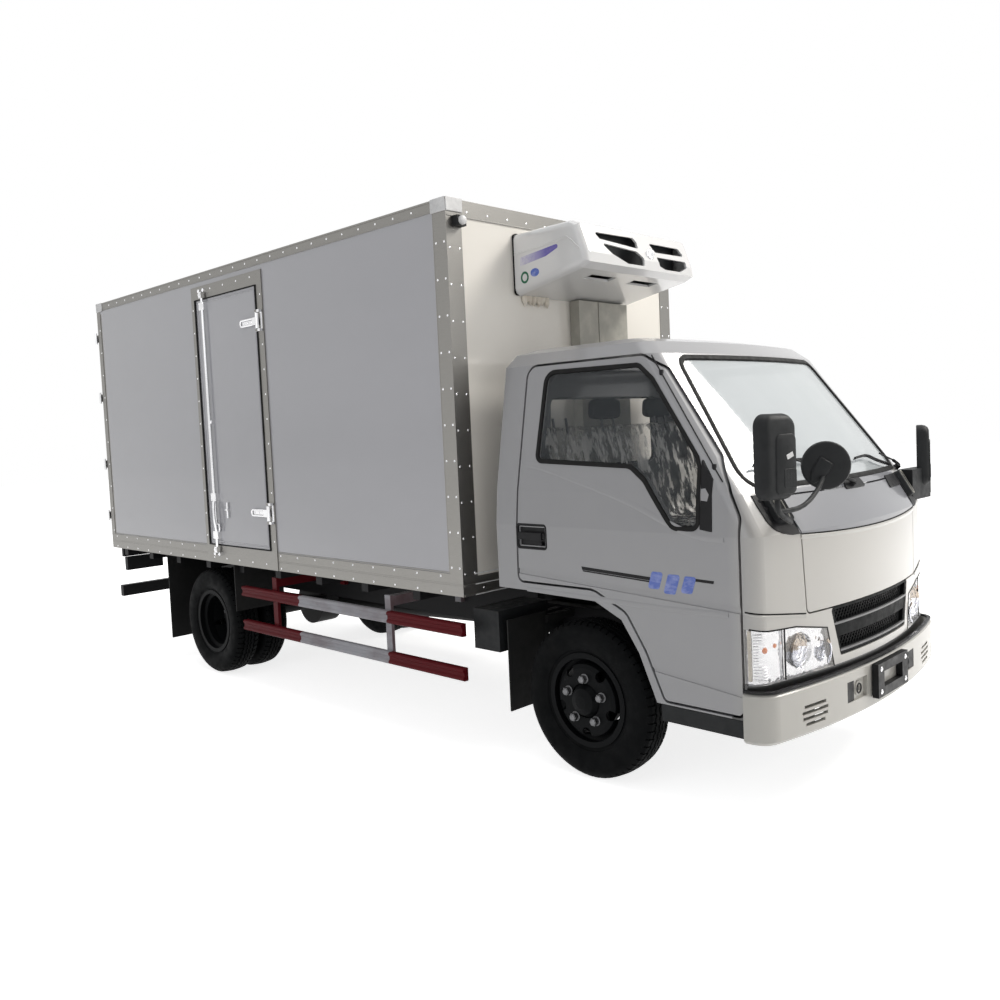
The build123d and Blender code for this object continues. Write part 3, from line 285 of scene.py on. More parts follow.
M["panel"] = panel = Mat("box_panel", (0.465, 0.465, 0.492), 0.16, 0.0, 0.5)
panel.mottle(1.3, 0.5, (0.425, 0.425, 0.45), (0.4, 1, 1))
panel.bump(panel.noise(1.6, 2.0), 0.12, 0.02)
panel.bump(panel.noise(60.0, 3.0), 0.03, 0.0006)
M["front_wall"] = front = Mat("front_wall_panel", (0.84, 0.81, 0.75), 0.3, 0.0, 0.3)
front.mottle(2.0, 0.4, (0.78, 0.74, 0.68))
front.bump(front.noise(3.0, 2.0), 0.1, 0.01)
M["unit"] = unit = Mat("unit_white", (0.72, 0.72, 0.72), 0.22, 0.0, 0.6)
unit.mottle(2.0, 0.3, (0.67, 0.67, 0.67))
unit.bump(unit.noise(40.0), 0.03, 0.0008)

WHITE_SPAN = (FA - 2.177, FA - 1.299)  # between the guards' red ends
M["guard"] = guard = Mat("guard_paint", (0.11, 0.004, 0.008), 0.45, 0.0, 0.0, 0.1)
guard.tint(guard.between("X", *WHITE_SPAN, 0.002), (0.46, 0.46, 0.49))
guard.mottle(9.0, 0.35, (0.09, 0.008, 0.010), (0.5, 1, 1))
guard.bump(guard.noise(50.0), 0.1, 0.0008)

M["glass"] = glass = Mat("door_glass", (0.3, 0.33, 0.35), 0.04, 0.0, 0.0, 0.3, 0.07)
glass.mottle(1.2, 0.3, (0.24, 0.27, 0.29))
glass.bump(glass.noise(5.0), 0.02, 0.001)
# painted reflection: the windscreen is a pale blue-grey, nearly opaque glass with streaky patches, for the sky and
# light it mirrors; towards the back the rear window stays nearly clear
M["screen_painted_reflection"] = screen_painted_reflection = Mat("cab_glass", (0.63, 0.67, 0.69), 0.05, 0.0, 0.0, 0.5)
screen_painted_reflection.mottle(1.6, 0.5, (0.51, 0.555, 0.575), (1, 1, 0.5))
screen_painted_reflection.bump(screen_painted_reflection.noise(4.0), 0.03, 0.002)
screen_painted_reflection.drive("Alpha", screen_painted_reflection.ramp(screen_painted_reflection.axis("X"), FA + 0.1, FA + 0.3, 0.12, 0.78))
M["film"] = film = Mat("film_with_painted_highlights", (0.86, 0.84, 0.8), 0.14, 0.0, 0.0, 0.8)
film.mottle(14.0, 0.5, (0.6, 0.6, 0.58), (1, 1, 0.3))
film.bump(film.noise(22.0, 4.0, (1, 1, 0.35)), 1.0, 0.02)
# painted highlights: where the noise runs high the film turns pale and nearly opaque, as bright streaks along its
# wrinkles
film.drive("Alpha", film.ramp(film.noise(20.0, 5.0, (1, 1, 0.3), 0.65), 0.47, 0.58, 0.02, 0.9))
M["strip"] = strip = Mat("blue_strip", (0.12, 0.1, 0.42), 0.25, 0.0, 0.4)
strip.tint(strip.ramp(strip.axis("X"), FA - 0.42, FA - 0.60), (0.72, 0.71, 0.76))
strip.mottle(60.0, 0.35, (0.25, 0.2, 0.55))
M["blue"] = blue = Mat("decal_blue", (0.07, 0.13, 0.5), 0.3, 0.0, 0.3)
blue.mottle(30.0, 0.7, (0.3, 0.36, 0.66), (1, 1, 2))

M["lens"] = lens = Mat("lamp_lens", (0.9, 0.9, 0.9), 0.03, 0.0, 0.0, 0.5, 0.1)
lens.mottle(8.0, 0.3, (0.8, 0.8, 0.82))
ribs = lens.texture("ShaderNodeTexWave", 18.0, wave_type="BANDS", bands_direction="Z")
on_side = lens.ramp(lens.axis("X"), FA + 1.0, FA + 0.95)
lens.bump(lens.math("MULTIPLY", ribs[1], on_side), 0.4, 0.004)
M["reflector"] = reflector = metal("lamp_reflector", (0.62, 0.62, 0.635), 0.12)
reflector.bump(reflector.texture("ShaderNodeTexVoronoi", 45.0)["Distance"], 0.35, 0.006)
# painted reflection: the chrome bowls carry the colours they mirror, bluish grey below and beige above z 0.706
M["bowl_painted_reflection"] = bowl_painted_reflection = metal("lamp_bowl", (0.66, 0.67, 0.72), 0.10)
bowl_painted_reflection.tint(bowl_painted_reflection.math("GREATER_THAN", bowl_painted_reflection.axis("Z"), 0.706), (0.42, 0.36, 0.30))

M["tyre"] = tyre = Mat("tyre_rubber", (0.0032, 0.0036, 0.004), 0.7, spec=0.05)
tyre.mottle(16.0, 0.5, (0.007, 0.007, 0.007))
tyre.vary_rough(20.0, 0.5, 0.75)
tyre.bump(tyre.noise(320.0, 4.0), 0.3, 0.0012)

NODE_LOOKS = {
    "chassis": "ladder_frame leaf_springs fuel_tank rear_underrun_bar",
    "cast": "axles engine_block knuckle_right knuckle_left",
    "black": "battery_box rear_and_marker_lamps steering_wheel mirrors cab_trim",
    "bumper": "front_bumper",
    "trim_black": "bumper_pad",
    "flap": "mud_flaps",
    "guard": "side_guards",
    "alu": "box_floor box_trim door_frames",
    "front_wall": "box_front_wall",
    "panel": "box_right_wall box_left_wall box_roof side_door_panel rear_door_left_panel rear_door_right_panel",
    "unit": "condenser_unit evaporator_unit",
    "core": "condenser_core",
    "duct": "refrigerant_duct",
    "chrome": "side_door_hardware rear_door_left_hardware rear_door_right_hardware",
    "cab": "cab_roof cab_back_panel door_right_panel door_left_panel",
    "cab_front": "cab_front_frame front_lid",
    "screen_painted_reflection": "cab_glass",
    "glass": "door_right_glass door_left_glass",
    "grille": "grille",
    "lens": "headlamp_lenses",
    "reflector": "headlamp_units",
    "interior": "cab_floor dashboard seats",
    "rim": "front_rim_right front_rim_left rear_rims_right rear_rims_left",
    "tyre": "front_tyre_right front_tyre_left rear_tyres_right rear_tyres_left",
}
for look, nodes in NODE_LOOKS.items():
    for node in nodes.split():
        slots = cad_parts[node].data.materials
        slots.clear()
        slots.append(M[look].mat)


# ---------- mesh helpers
def piece(name, bm, look, body, smooth=True, bevel=0.0, flip=False, subsurf=0, sharp=32,
          stands_for=()):
    """Turn a bmesh into a named piece with a material, riding on a body."""
    if flip:
        bmesh.ops.scale(bm, vec=(1, -1, 1), verts=bm.verts)
        bmesh.ops.reverse_faces(bm, faces=bm.faces)
    bmesh.ops.recalc_face_normals(bm, faces=bm.faces)
    mesh = bpy.data.meshes.new(name)
    bm.to_mesh(mesh)
    bm.free()
    obj = bpy.data.objects.new(name, mesh)
    scene.collection.objects.link(obj)
    mesh.materials.append(M[look].mat)
    for face in mesh.polygons:
        face.use_smooth = smooth
    if smooth and not subsurf:
        mesh.set_sharp_from_angle(angle=radians(sharp))
    if bevel:
        mod = obj.modifiers.new("bevel", "BEVEL")
        mod.width = bevel
        mod.segments = 2
        mod.limit_method = "ANGLE"
        mod.angle_limit = radians(40)
    if subsurf:
        mod = obj.modifiers.new("subsurf", "SUBSURF")
        mod.levels = mod.render_levels = subsurf
    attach(obj, body)
    if stands_for:
        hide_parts(*stands_for)
    return obj


def block(bm, low, high):
    """A box between two corners."""
    low, high = Vector(low), Vector(high)
    made = bmesh.ops.create_cube(bm, size=1.0)["verts"]
    bmesh.ops.scale(bm, vec=high - low, verts=made)
    bmesh.ops.translate(bm, vec=(low + high) / 2, verts=made)


def skin(bm, rings, closed=True, caps=True):
    """Faces between successive rings of points."""
    rows = [[bm.verts.new(p) for p in ring] for ring in rings]
    n = len(rows[0])
    for a, b in zip(rows, rows[1:]):
        for k in range(n if closed else n - 1):
            bm.faces.new((a[k], a[(k + 1) % n], b[(k + 1) % n], b[k]))
    if caps and closed:
        bm.faces.new(rows[0][::-1])
        bm.faces.new(rows[-1])


def hoop(place, turn, radius, height=0.0, sides=20):
    """A round ring of points about the turned z axis through a place."""
    angles = [2 * pi * k / sides for k in range(sides)]
    return [place + turn @ Vector((radius * cos(a), radius * sin(a), height)) for a in angles]


def drum(bm, start, end, radius, far_radius=None, sides=20):
    """A round or many-sided bar between two points."""
    start, end = Vector(start), Vector(end)
    turn = (end - start).to_track_quat("Z", "Y")
    skin(bm, [hoop(start, turn, radius, 0.0, sides), hoop(end, turn, far_radius or radius, 0.0, sides)])


def dome(bm, place, normal, radius, height, sides=8):
    """A low rounded head."""
    turn = Vector(normal).to_track_quat("Z", "Y")
    steps = ((1.0, -0.1), (1.0, 0.35), (0.72, 0.8), (0.3, 1.0))
    skin(bm, [hoop(Vector(place), turn, r * radius, h * height, sides) for r, h in steps])


def tube(bm, points, radius, sides=12):
    """A round bar through points, with a ring at each."""
    points = [Vector(p) for p in points]
    rings = []
    across = None
    for k, p in enumerate(points):
        ahead = (points[min(k + 1, len(points) - 1)] - points[max(k - 1, 0)]).normalized()
        if across is None:
            across = ahead.orthogonal().normalized()
        across = (across - ahead * across.dot(ahead)).normalized()
        other = ahead.cross(across)
        angles = [2 * pi * s / sides for s in range(sides)]
        rings.append([p + radius * (cos(a) * across + sin(a) * other) for a in angles])
    skin(bm, rings)


def smooth_path(points, steps=8):
    """A rounded path through points (Catmull-Rom)."""
    p = [Vector(q) for q in points]
    p = [2 * p[0] - p[1]] + p + [2 * p[-1] - p[-2]]
    out = []
    for a, b, c, d in zip(p, p[1:], p[2:], p[3:]):
        for s in range(steps):
            t = s / steps
            curve = 2 * b + (c - a) * t + (2 * a - 5 * b + 4 * c - d) * t ** 2
            out.append(0.5 * (curve + (3 * b - a - 3 * c + d) * t ** 3))
    return out + [p[-2]]


def smooth_run(points, steps):
    """A rounded path on a surface, through its coordinates."""
    return [(p.x, p.y) for p in smooth_path([(u, v, 0) for u, v in points], steps)]


def rect(u0, u1, v0, v1):
    """The corners of an upright rectangle."""
    return [(u0, v0), (u1, v0), (u1, v1), (u0, v1)]


def rounded(points, radii, steps=6):
    """A closed outline with rounded corners, as short runs."""
    out = []
    n = len(points)
    radii = radii if isinstance(radii, (list, tuple)) else [radii] * n
    for k in range(n):
        p = Vector(points[k])
        u = (p - Vector(points[k - 1])).normalized()
        v = (Vector(points[(k + 1) % n]) - p).normalized()
        bend = -u.angle_signed(v)
        start = p - u * (radii[k] * abs(tan(bend / 2)))
        side = 1 if bend > 0 else -1
        centre = start + Vector((-u.y, u.x)) * radii[k] * side
        d = start - centre
        for s in range(steps + 1):
            a = bend * s / steps
            out.append(centre + Vector((d.x * cos(a) - d.y * sin(a), d.x * sin(a) + d.y * cos(a))))
    return out


def split(points, longest=0.05):
    """The same loop with long runs divided, so that it follows a curved surface."""
    out = []
    for a, b in zip(points, points[1:] + points[:1]):
        a, b = Vector(a), Vector(b)
        n = max(1, int((b - a).length / longest))
        out += [a + (b - a) * s / n for s in range(n)]
    return out


def area_sign(loop):
    total = sum(a[0] * b[1] - b[0] * a[1] for a, b in zip(loop, loop[1:] + loop[:1]))
    return 1 if total > 0 else -1


def lifted(surf, u, v, lift):
    """A point on a surface, raised along its normal."""
    p = surf(u, v)
    e = 1e-3
    normal = (surf(u + e, v) - p).cross(surf(u, v + e) - p).normalized()
    return p + normal * lift


def band(bm, surf, loop, profile, closed=True):
    """A moulding that follows a loop on a surface: profile gives (outwards in the surface, height)."""
    sign = area_sign([tuple(p) for p in loop]) if closed else 1
    rings = []
    n = len(loop)
    for k in range(n):
        a = Vector(loop[k - 1] if closed or k else loop[0])
        b = Vector(loop[(k + 1) % n] if closed or k < n - 1 else loop[-1])
        d = (b - a).normalized()
        out = Vector((d.y, -d.x)) * sign
        p = Vector(loop[k])
        rings.append([lifted(surf, *(p + out * w), h) for w, h in profile])
    if closed:
        rings.append(rings[0])
    skin(bm, rings, closed=True, caps=not closed)
    bmesh.ops.remove_doubles(bm, verts=bm.verts, dist=1e-6)


def plate(bm, surf, loop, low, high, inset=0.0):
    """A thin plate over a surface, within a loop, from one height to another."""
    sign = area_sign([tuple(p) for p in loop])
    base, top = [], []
    n = len(loop)
    for k in range(n):
        d = (Vector(loop[(k + 1) % n]) - Vector(loop[k - 1])).normalized()
        out = Vector((d.y, -d.x)) * sign
        p = Vector(loop[k])
        base.append(lifted(surf, *p, low))
        top.append(lifted(surf, *(p - out * inset), high))
    skin(bm, [base, top])


# ---------- surfaces of the truck
def cab_section(z):
    """How far the nose reaches ahead of the front axle, and the half width, at a height."""
    for (z0, r0, h0), (z1, r1, h1) in zip(CAB_SECTIONS, CAB_SECTIONS[1:]):
        if z <= z1:
            break
    t = (z - z0) / (z1 - z0)
    return r0 + t * (r1 - r0), h0 + t * (h1 - h0)


def cab_face(y, z):
    return Vector((FA + cab_section(z)[0] - NOSE_RADIUS + sqrt(NOSE_RADIUS ** 2 - y * y), y, z))


def cab_side(x, z):
    return Vector((FA + x, -cab_section(z)[1], z))


def cab_wrap(u, z):
    """A point on the cab's right half: -u is the way from the middle, round the corner and along the side."""
    reach, half = cab_section(z)
    way = -u
    turn = asin((half - CORNER_RADIUS) / (NOSE_RADIUS - CORNER_RADIUS))
    x = FA + reach - NOSE_RADIUS
    if way < NOSE_RADIUS * turn:
        return Vector((x + NOSE_RADIUS * cos(way / NOSE_RADIUS), -NOSE_RADIUS * sin(way / NOSE_RADIUS), z))
    way -= NOSE_RADIUS * turn
    x += (NOSE_RADIUS - CORNER_RADIUS) * cos(turn)
    if way < CORNER_RADIUS * (pi / 2 - turn):
        a = turn + way / CORNER_RADIUS
        return Vector((x + CORNER_RADIUS * cos(a), CORNER_RADIUS - half - CORNER_RADIUS * sin(a), z))
    return Vector((x - way + CORNER_RADIUS * (pi / 2 - turn), -half, z))


def cab_back(y, z):
    return Vector((CAB_BACK, -y, z))


def box_side(x, z):
    return Vector((FA + x, -PANEL_Y, z))


def box_rear(y, z):
    return Vector((BOX_REAR, -y, z))


def wall_face(y, z):
    return Vector((BOX_FRONT + 0.0005, y, z))


def unit_side(x, z):
    return Vector((FA + x, -0.480, z))


SIDES = (("right", False, -1), ("left", True, 1))  # drawn for the right; flipped for the left

# ---------- glass seals, quarter panels, door handles
WINDOW = rounded(
    [(-0.232, 1.492), (-0.205, 1.905), (0.330, 1.900), (0.408, 1.835), (0.655, 1.500),
     (0.668, 1.460), (0.668, 1.212), (0.545, 1.207), (0.400, 1.405), (0.318, 1.466)],
    [0.030, 0.055, 0.040, 0.040, 0.020, 0.020, 0.030, 0.060, 0.090, 0.070])
WINDSCREEN = rounded([(-0.742, 1.368), (-0.614, 1.930), (0.614, 1.930), (0.742, 1.368)], 0.070)
REAR_WINDOW = rounded([(-0.480, 1.420), (-0.470, 1.800), (0.470, 1.800), (0.480, 1.420)], 0.050)
QUARTER = rounded([(0.676, 1.505), (0.738, 1.412), (0.738, 1.198), (0.676, 1.206)], 0.006, 3)
HANDLE = rounded([(-0.350, 1.076), (-0.350, 1.188), (-0.165, 1.188), (-0.165, 1.076)], 0.014, 4)
HANDLE_LINER = rounded([(-0.346, 1.080), (-0.346, 1.184), (-0.169, 1.184), (-0.169, 1.080)], 0.012, 4)
# profiles: (outwards in the surface, height over it)
SEAL = [(0.002, -0.006), (0.010, -0.003), (0.012, 0.002), (0.008, 0.005), (-0.006, 0.004), (-0.010, -0.004)]
SCREEN_SEAL = [(0.002, -0.006), (0.009, -0.002), (0.010, 0.002), (0.006, 0.004), (-0.008, 0.003), (-0.012, -0.004)]
HANDLE_RIM = [
    (0.006, -0.001), (0.005, 0.0025), (-0.001, 0.003), (-0.006, -0.002), (-0.010, -0.020), (-0.002, -0.020)]
for side, flip, _ in SIDES:
    body = f"door_{side}"
    bm = bmesh.new()
    band(bm, cab_side, split(WINDOW), SEAL)
    piece(f"window_seal_{side}", bm, "rubber", body, flip=flip)
    bm = bmesh.new()
    plate(bm, cab_side, QUARTER, -0.004, 0.005, 0.004)
    piece(f"quarter_panel_{side}", bm, "trim_black", body, flip=flip, bevel=0.001)
    bm = bmesh.new()
    band(bm, cab_side, HANDLE, HANDLE_RIM)
    plate(bm, cab_side, HANDLE_LINER, -0.0175, -0.0155)
    block(bm, (FA - 0.333, -0.8615, 1.118), (FA - 0.186, -0.8475, 1.152))
    block(bm, (FA - 0.210, -0.853, 1.092), (FA - 0.190, -0.830, 1.108))
    piece(f"door_handle_{side}", bm, "trim_black", body, flip=flip, bevel=0.003)

bm = bmesh.new()
band(bm, cab_face, split(WINDSCREEN), SCREEN_SEAL)
band(bm, cab_back, split(REAR_WINDOW), SEAL)
piece("cab_window_seals", bm, "rubber", "cab")

# ---------- wipers, cowl covers, antenna
# each: the arm from its pivot, then the blade
WIPERS = [
    ([(-0.035, 1.338), (-0.075, 1.346), (-0.135, 1.360), (-0.300, 1.415), (-0.415, 1.460)],
     [(-0.643, 1.446), (-0.520, 1.452), (-0.400, 1.455), (-0.280, 1.452), (-0.175, 1.442)]),
    ([(0.766, 1.360), (0.735, 1.366), (0.660, 1.386), (0.560, 1.408), (0.481, 1.430)],
     [(0.142, 1.432), (0.235, 1.437), (0.322, 1.435), (0.418, 1.409), (0.585, 1.378)]),
]
bm = bmesh.new()
for arm, blade in WIPERS:
    drum(bm, lifted(cab_face, *arm[0], 0.0), lifted(cab_face, *arm[0], 0.022), 0.016, 0.013)
    heel = [lifted(cab_face, y, z, 0.020 + 0.004 * k) for k, (y, z) in enumerate(arm[:3])]
    tube(bm, smooth_path(heel, 5), 0.008, 8)
    tube(bm, smooth_path([lifted(cab_face, y, z, 0.029) for y, z in arm[2:]], 5), 0.0045, 8)
    tube(bm, smooth_path([lifted(cab_face, y, z, 0.018) for y, z in blade], 4), 0.0050, 6)
    tube(bm, smooth_path([lifted(cab_face, y, z - 0.001, 0.0095) for y, z in blade], 4), 0.0035, 6)
piece("wipers", bm, "trim_black", "cab", sharp=50)
bm = bmesh.new()
for y0, y1, z0, z1 in ((-0.118, 0.089, 1.316, 1.359), (0.374, 0.600, 1.284, 1.344)):
    outline = rounded([(y0, z0), (y1, z0), (y1 - 0.02, z1), (y0 + 0.02, z1)], 0.010, 4)
    plate(bm, cab_face, split(outline, 0.04), -0.002, 0.005, 0.003)
piece("cowl_covers", bm, "trim_black", "cab")


def pillar(z, lift):
    """A point over the rounded corner between the cab's face and its right side."""
    half = cab_section(z)[1]
    out = 0.7 * lift - 0.022
    return Vector((cab_face(-half, z).x + out, -half - out, z))


bm = bmesh.new()
tube(bm, [pillar(1.40 + 0.06 * k, 0.012) for k in range(10)], 0.0032, 8)
for z in (1.46, 1.86):
    drum(bm, pillar(z, -0.004), pillar(z, 0.012), 0.010, 0.006, 10)
    clip = Vector((0.007, 0.007, 0.012))
    block(bm, pillar(z, 0.012) - clip, pillar(z, 0.012) + clip)
piece("antenna", bm, "trim_black", "cab", bevel=0.001)


# ---------- mirrors
def placed(place, turn, points):
    """Points in a mirror's own frame, turned about the vertical and moved to their place."""
    spin = Matrix.Rotation(radians(turn), 3, "Z")
    return [Vector(place) + spin @ Vector(p) for p in points]


def mirror_rings(bm, place, turn, side, steps):
    """The skin of a mirror's panel: at each step, its x and its outline in y and z."""
    skin(bm, [placed(place, turn, [(x, side * p[0], p[1]) for p in loop]) for x, loop in steps])


SHELL = (  # x and share of the full outline
    (-0.020, 0.88), (-0.020, 0.95), (-0.031, 0.97), (-0.029, 1.0), (-0.004, 1.0),
    (0.012, 0.975), (0.024, 0.92), (0.030, 0.83), (0.031, 0.6),
)
MIRROR_HALF = (0.0825, 0.158)
RAISED = ((0.006, 0.002), (0.026, 0.001), (0.033, -0.001), (0.035, -0.004))  # x and growth of the inner panel


def housing(bm, place, turn, side):
    """A mirror's shell with a raised inner panel and a vent of small cells."""
    wide, high = MIRROR_HALF
    full = [(x, rounded(rect(-wide * k, wide * k, -high * k, high * k), 0.046 * k, 8)) for x, k in SHELL]
    mirror_rings(bm, place, turn, side, full)
    inner = []
    for x, g in RAISED:
        low, top = -0.136 - g, 0.084 + g
        loop = [(-0.036 - g, low), (0.071 + g, low), (0.071 + g, top), (-0.030 - g, top)]
        inner.append((x, rounded(loop, 0.022, 5)))
    mirror_rings(bm, place, turn, side, inner)
    vent = rounded(rect(0.004, 0.068, -0.113, -0.043), 0.008, 4)
    mirror_rings(bm, place, turn, side, [(x, vent) for x in (0.030, 0.0365)])
    made = bmesh.ops.create_grid(bm, x_segments=4, y_segments=4, size=0.5)["verts"]
    spots = [(0.0368, side * (0.036 + 0.056 * v.co.x), -0.078 + 0.060 * v.co.y) for v in made]
    for v, p in zip(made, placed(place, turn, spots)):
        v.co = p
    cells = list(dict.fromkeys(f for v in made for f in v.link_faces))  # each once, in a fixed order
    bmesh.ops.recalc_face_normals(bm, faces=cells)
    ahead = placed((0, 0, 0), turn, [(1, 0, 0)])[0]
    if cells[0].normal.dot(ahead) < 0:
        bmesh.ops.reverse_faces(bm, faces=cells)
    bmesh.ops.inset_individual(bm, faces=cells, thickness=0.0028, depth=0.0)
    bmesh.ops.inset_individual(bm, faces=cells, thickness=0.0004, depth=-0.006)


MIRROR = (FA + 1.080, -0.955, 1.505)
MIRROR_TURN = -15
ROUND_MIRROR = (FA + 1.050, -0.486, 1.446)
ROUND_RADIUS = 0.098
ROUND_TURN = -53
ROUND_SHELL = (  # x and share of the full radius
    (-0.010, 0.88), (-0.010, 0.94), (-0.015, 0.96), (-0.013, 1.0), (0.000, 1.0),
    (0.008, 0.955), (0.0128, 0.8), (0.0150, 0.5), (0.0155, 0.2),
)
ROUND_BOSS = (  # along the boss, its half width and its height
    (-0.066, 0.010, 0.012), (-0.050, 0.020, 0.018), (-0.034, 0.030, 0.020),
    (0.0, 0.033, 0.021), (0.036, 0.033, 0.021), (0.041, 0.031, 0.016),
)
BOSS_LEAN = (0.82, 0.57)  # cosine and sine
ARMS = [  # each bar's route ahead of the front axle, and its radius
    ([(0.955, -0.662, 1.262), (1.046, -0.790, 1.250), (1.070, -0.925, 1.305), (1.078, -0.946, 1.390)], 0.0105),
    ([(1.066, -0.925, 1.300), (1.080, -0.800, 1.302), (1.078, -0.700, 1.322),
      (1.060, -0.580, 1.362), (1.052, -0.520, 1.400)], 0.0095),
]
bm = bmesh.new()
housing(bm, MIRROR, MIRROR_TURN, 1)
housing(bm, (FA + 0.925, 0.900, 1.415), 20, -1)
for route, radius in ARMS:
    tube(bm, smooth_path([(FA + x, y, z) for x, y, z in route]), radius)
turns = [2 * pi * q / 40 for q in range(40)]
shell = [[(x, ROUND_RADIUS * k * cos(a), ROUND_RADIUS * k * sin(a)) for a in turns] for x, k in ROUND_SHELL]
skin(bm, [placed(ROUND_MIRROR, ROUND_TURN, ring) for ring in shell])
rings = []
for t, wide, high in ROUND_BOSS:
    ring = []
    for q in range(11):
        a = pi * q / 10
        across = wide * cos(a)
        y = -0.022 + t * BOSS_LEAN[1] + across * BOSS_LEAN[0]
        z = -0.012 + t * BOSS_LEAN[0] - across * BOSS_LEAN[1]
        ring.append((0.008 + high * min(1.0, 1.5 * sin(a)), y, z))
    rings.append(placed(ROUND_MIRROR, ROUND_TURN, ring))
skin(bm, rings)
for sign in (-1, 1):
    pod = rounded([(sign * y, z) for y, z in rect(0.606, 0.700, 1.222, 1.345)], 0.016, 4)
    plate(bm, cab_face, split(pod, 0.03), 0.0, 0.026, 0.004)
block(bm, (FA + 0.872, 0.692, 1.197), (FA + 0.948, 0.935, 1.353))
block(bm, (FA + 0.880, 0.938, 1.215), (FA + 0.940, 0.963, 1.351))
piece("mirror_housings", bm, "black", "cab", sharp=40, bevel=0.003, stands_for=("mirrors",))
bm = bmesh.new()
for sign in (-1, 1):
    rim = rounded([(sign * y, z) for y, z in rect(0.632, 0.674, 1.228, 1.338)], 0.0205, 8)
    band(bm, cab_face, rim, rect(-0.0018, 0.0018, 0.024, 0.0285))
piece("mirror_mount_rims", bm, "duct", "cab")
bm = bmesh.new()
LABEL_LEAN = 0.35
lean_cos, lean_sin = cos(LABEL_LEAN), sin(LABEL_LEAN)
corners = [(y * lean_cos - z * lean_sin + 0.036, y * lean_sin + z * lean_cos + 0.004)
           for y, z in rect(-0.017, 0.017, -0.009, 0.009)]
skin(bm, [placed(MIRROR, MIRROR_TURN, [(x, y, z) for y, z in corners]) for x in (0.0352, 0.0360)])
piece("mirror_label", bm, "lamp_white", "cab", smooth=False)

# ---------- nose: corner covers, seams, lamps
CORNER_COVER = rounded(
    [(-0.754, 1.342), (-0.755, 1.297), (-0.750, 1.242), (-0.736, 1.206),
     (-0.694, 1.186), (-0.640, 1.176), (-0.598, 1.176), (-LID_HALF, 1.342)],
    [0.002, 0.03, 0.05, 0.04, 0.04, 0.03, 0.003, 0.003], 3)
LINE = rect(-0.0028, 0.0028, -0.003, 0.0014)
LAMP_EDGE = [Vector(p) for p in (
    (-0.397, 0.602), (-0.439, 0.771), (-0.640, 0.8065), (-0.706, 0.8085), (-0.800, 0.8115), (-0.899, 0.826))]
LAMP_DIVIDER = [(-0.7085, z) for z in (0.604, 0.66, 0.74, 0.806)]
PANEL_SEAM = smooth_run([(-0.576, 0.8505), (-0.640, 0.859), (-0.735, 0.8705), (-0.815, 0.881), (-0.893, 0.891)], 5)
for side, flip, _ in SIDES:
    bm = bmesh.new()
    plate(bm, cab_wrap, split(CORNER_COVER, 0.03), -0.003, 0.004, 0.002)
    for u, z in ((-0.725, 1.318), (-0.716, 1.285)):
        dome(bm, cab_wrap(u, z) + Vector((0.003, 0, 0)), (1, -0.4, 0.4), 0.010, 0.006, 10)
    piece(f"corner_cover_{side}", bm, "trim_black", "cab", flip=flip)
    bm = bmesh.new()
    edge = [a + (b - a) * k / 5 for a, b in zip(LAMP_EDGE, LAMP_EDGE[1:]) for k in range(5)]
    # PANEL_SEAM's dark line is partly the seam's gap and partly painted shadow under the upper panel's overhanging
    # step
    for run in (edge, LAMP_DIVIDER, PANEL_SEAM):
        band(bm, cab_wrap, run, LINE, closed=False)
    piece(f"lamp_seals_and_seam_shadow_{side}", bm, "rubber", "cab", flip=flip, sharp=60)
    bm = bmesh.new()
    lip = [(-0.016, -0.001), (-0.012, 0.002), (-0.006, 0.004), (-0.003, 0.0)]
    band(bm, cab_wrap, PANEL_SEAM, lip, closed=False)
    piece(f"lamp_panel_lip_{side}", bm, "cab_front", "cab", flip=flip, sharp=60)


def seam_run(half, steps, drop=0.0):
    """Points along the bowed seam between the grey panel and the lid."""
    places = [half * (2 * k / steps - 1) for k in range(steps + 1)]
    return [(y, SEAM_Z - drop + SEAM_BOW * y * y) for y in places]


bm = bmesh.new()
band(bm, cab_face, seam_run(0.590, 20), rect(-0.003, 0.003, -0.002, 0.0012), closed=False)
piece("lid_seam", bm, "rubber", "front_lid")
bm = bmesh.new()
band(bm, cab_face, seam_run(0.588, 24, 0.003),
     [(0.0, -0.001), (0.0, 0.003), (0.004, 0.0055), (0.010, 0.004), (0.018, 0.0)], closed=False)
piece("lid_lip", bm, "cab_front", "front_lid", sharp=60)

LAMP_X = FA + 1.046
BOWLS = ((0.597, 0.702, 0.074, 0.020), (0.468, 0.668, 0.032, 0.012))  # y, z, mouth and back radius
BULBS = (0.020, 0.010)
bm = bmesh.new()
for sign in (1, -1):
    for (y, z, mouth, back), bulb in zip(BOWLS, BULBS):
        x = LAMP_X - (NOSE_RADIUS - sqrt(NOSE_RADIUS ** 2 - y * y))
        rings = []
        for k in range(7):
            t = k / 6
            r = back + (mouth - back) * sqrt(t)
            angles = [2 * pi * (q + 0.5 * (k % 2)) / 14 for q in range(14)]
            rings.append([(x - 0.046 + 0.040 * t, sign * y + r * cos(a), z + r * sin(a)) for a in angles])
        skin(bm, rings, caps=False)
        dome(bm, (x - 0.046, sign * y, z), (1, 0, 0), bulb, 1.6 * bulb, 12)
    for k in range(9):
        a = -1.2 + 2.4 * k / 8
        for r, back in ((0.046, 0.0), (0.060, 0.036)):
            p = Vector((FA + 1.022 - back, sign * (0.468 - r * cos(a)), 0.676 + r * sin(a)))
            facet = Vector((0.003, 0.003, 0.007))
            block(bm, p - facet, p + facet)
piece("lamp_bowls", bm, "bowl_painted_reflection", "cab", smooth=False)
RIB_PITCH = 0.0118
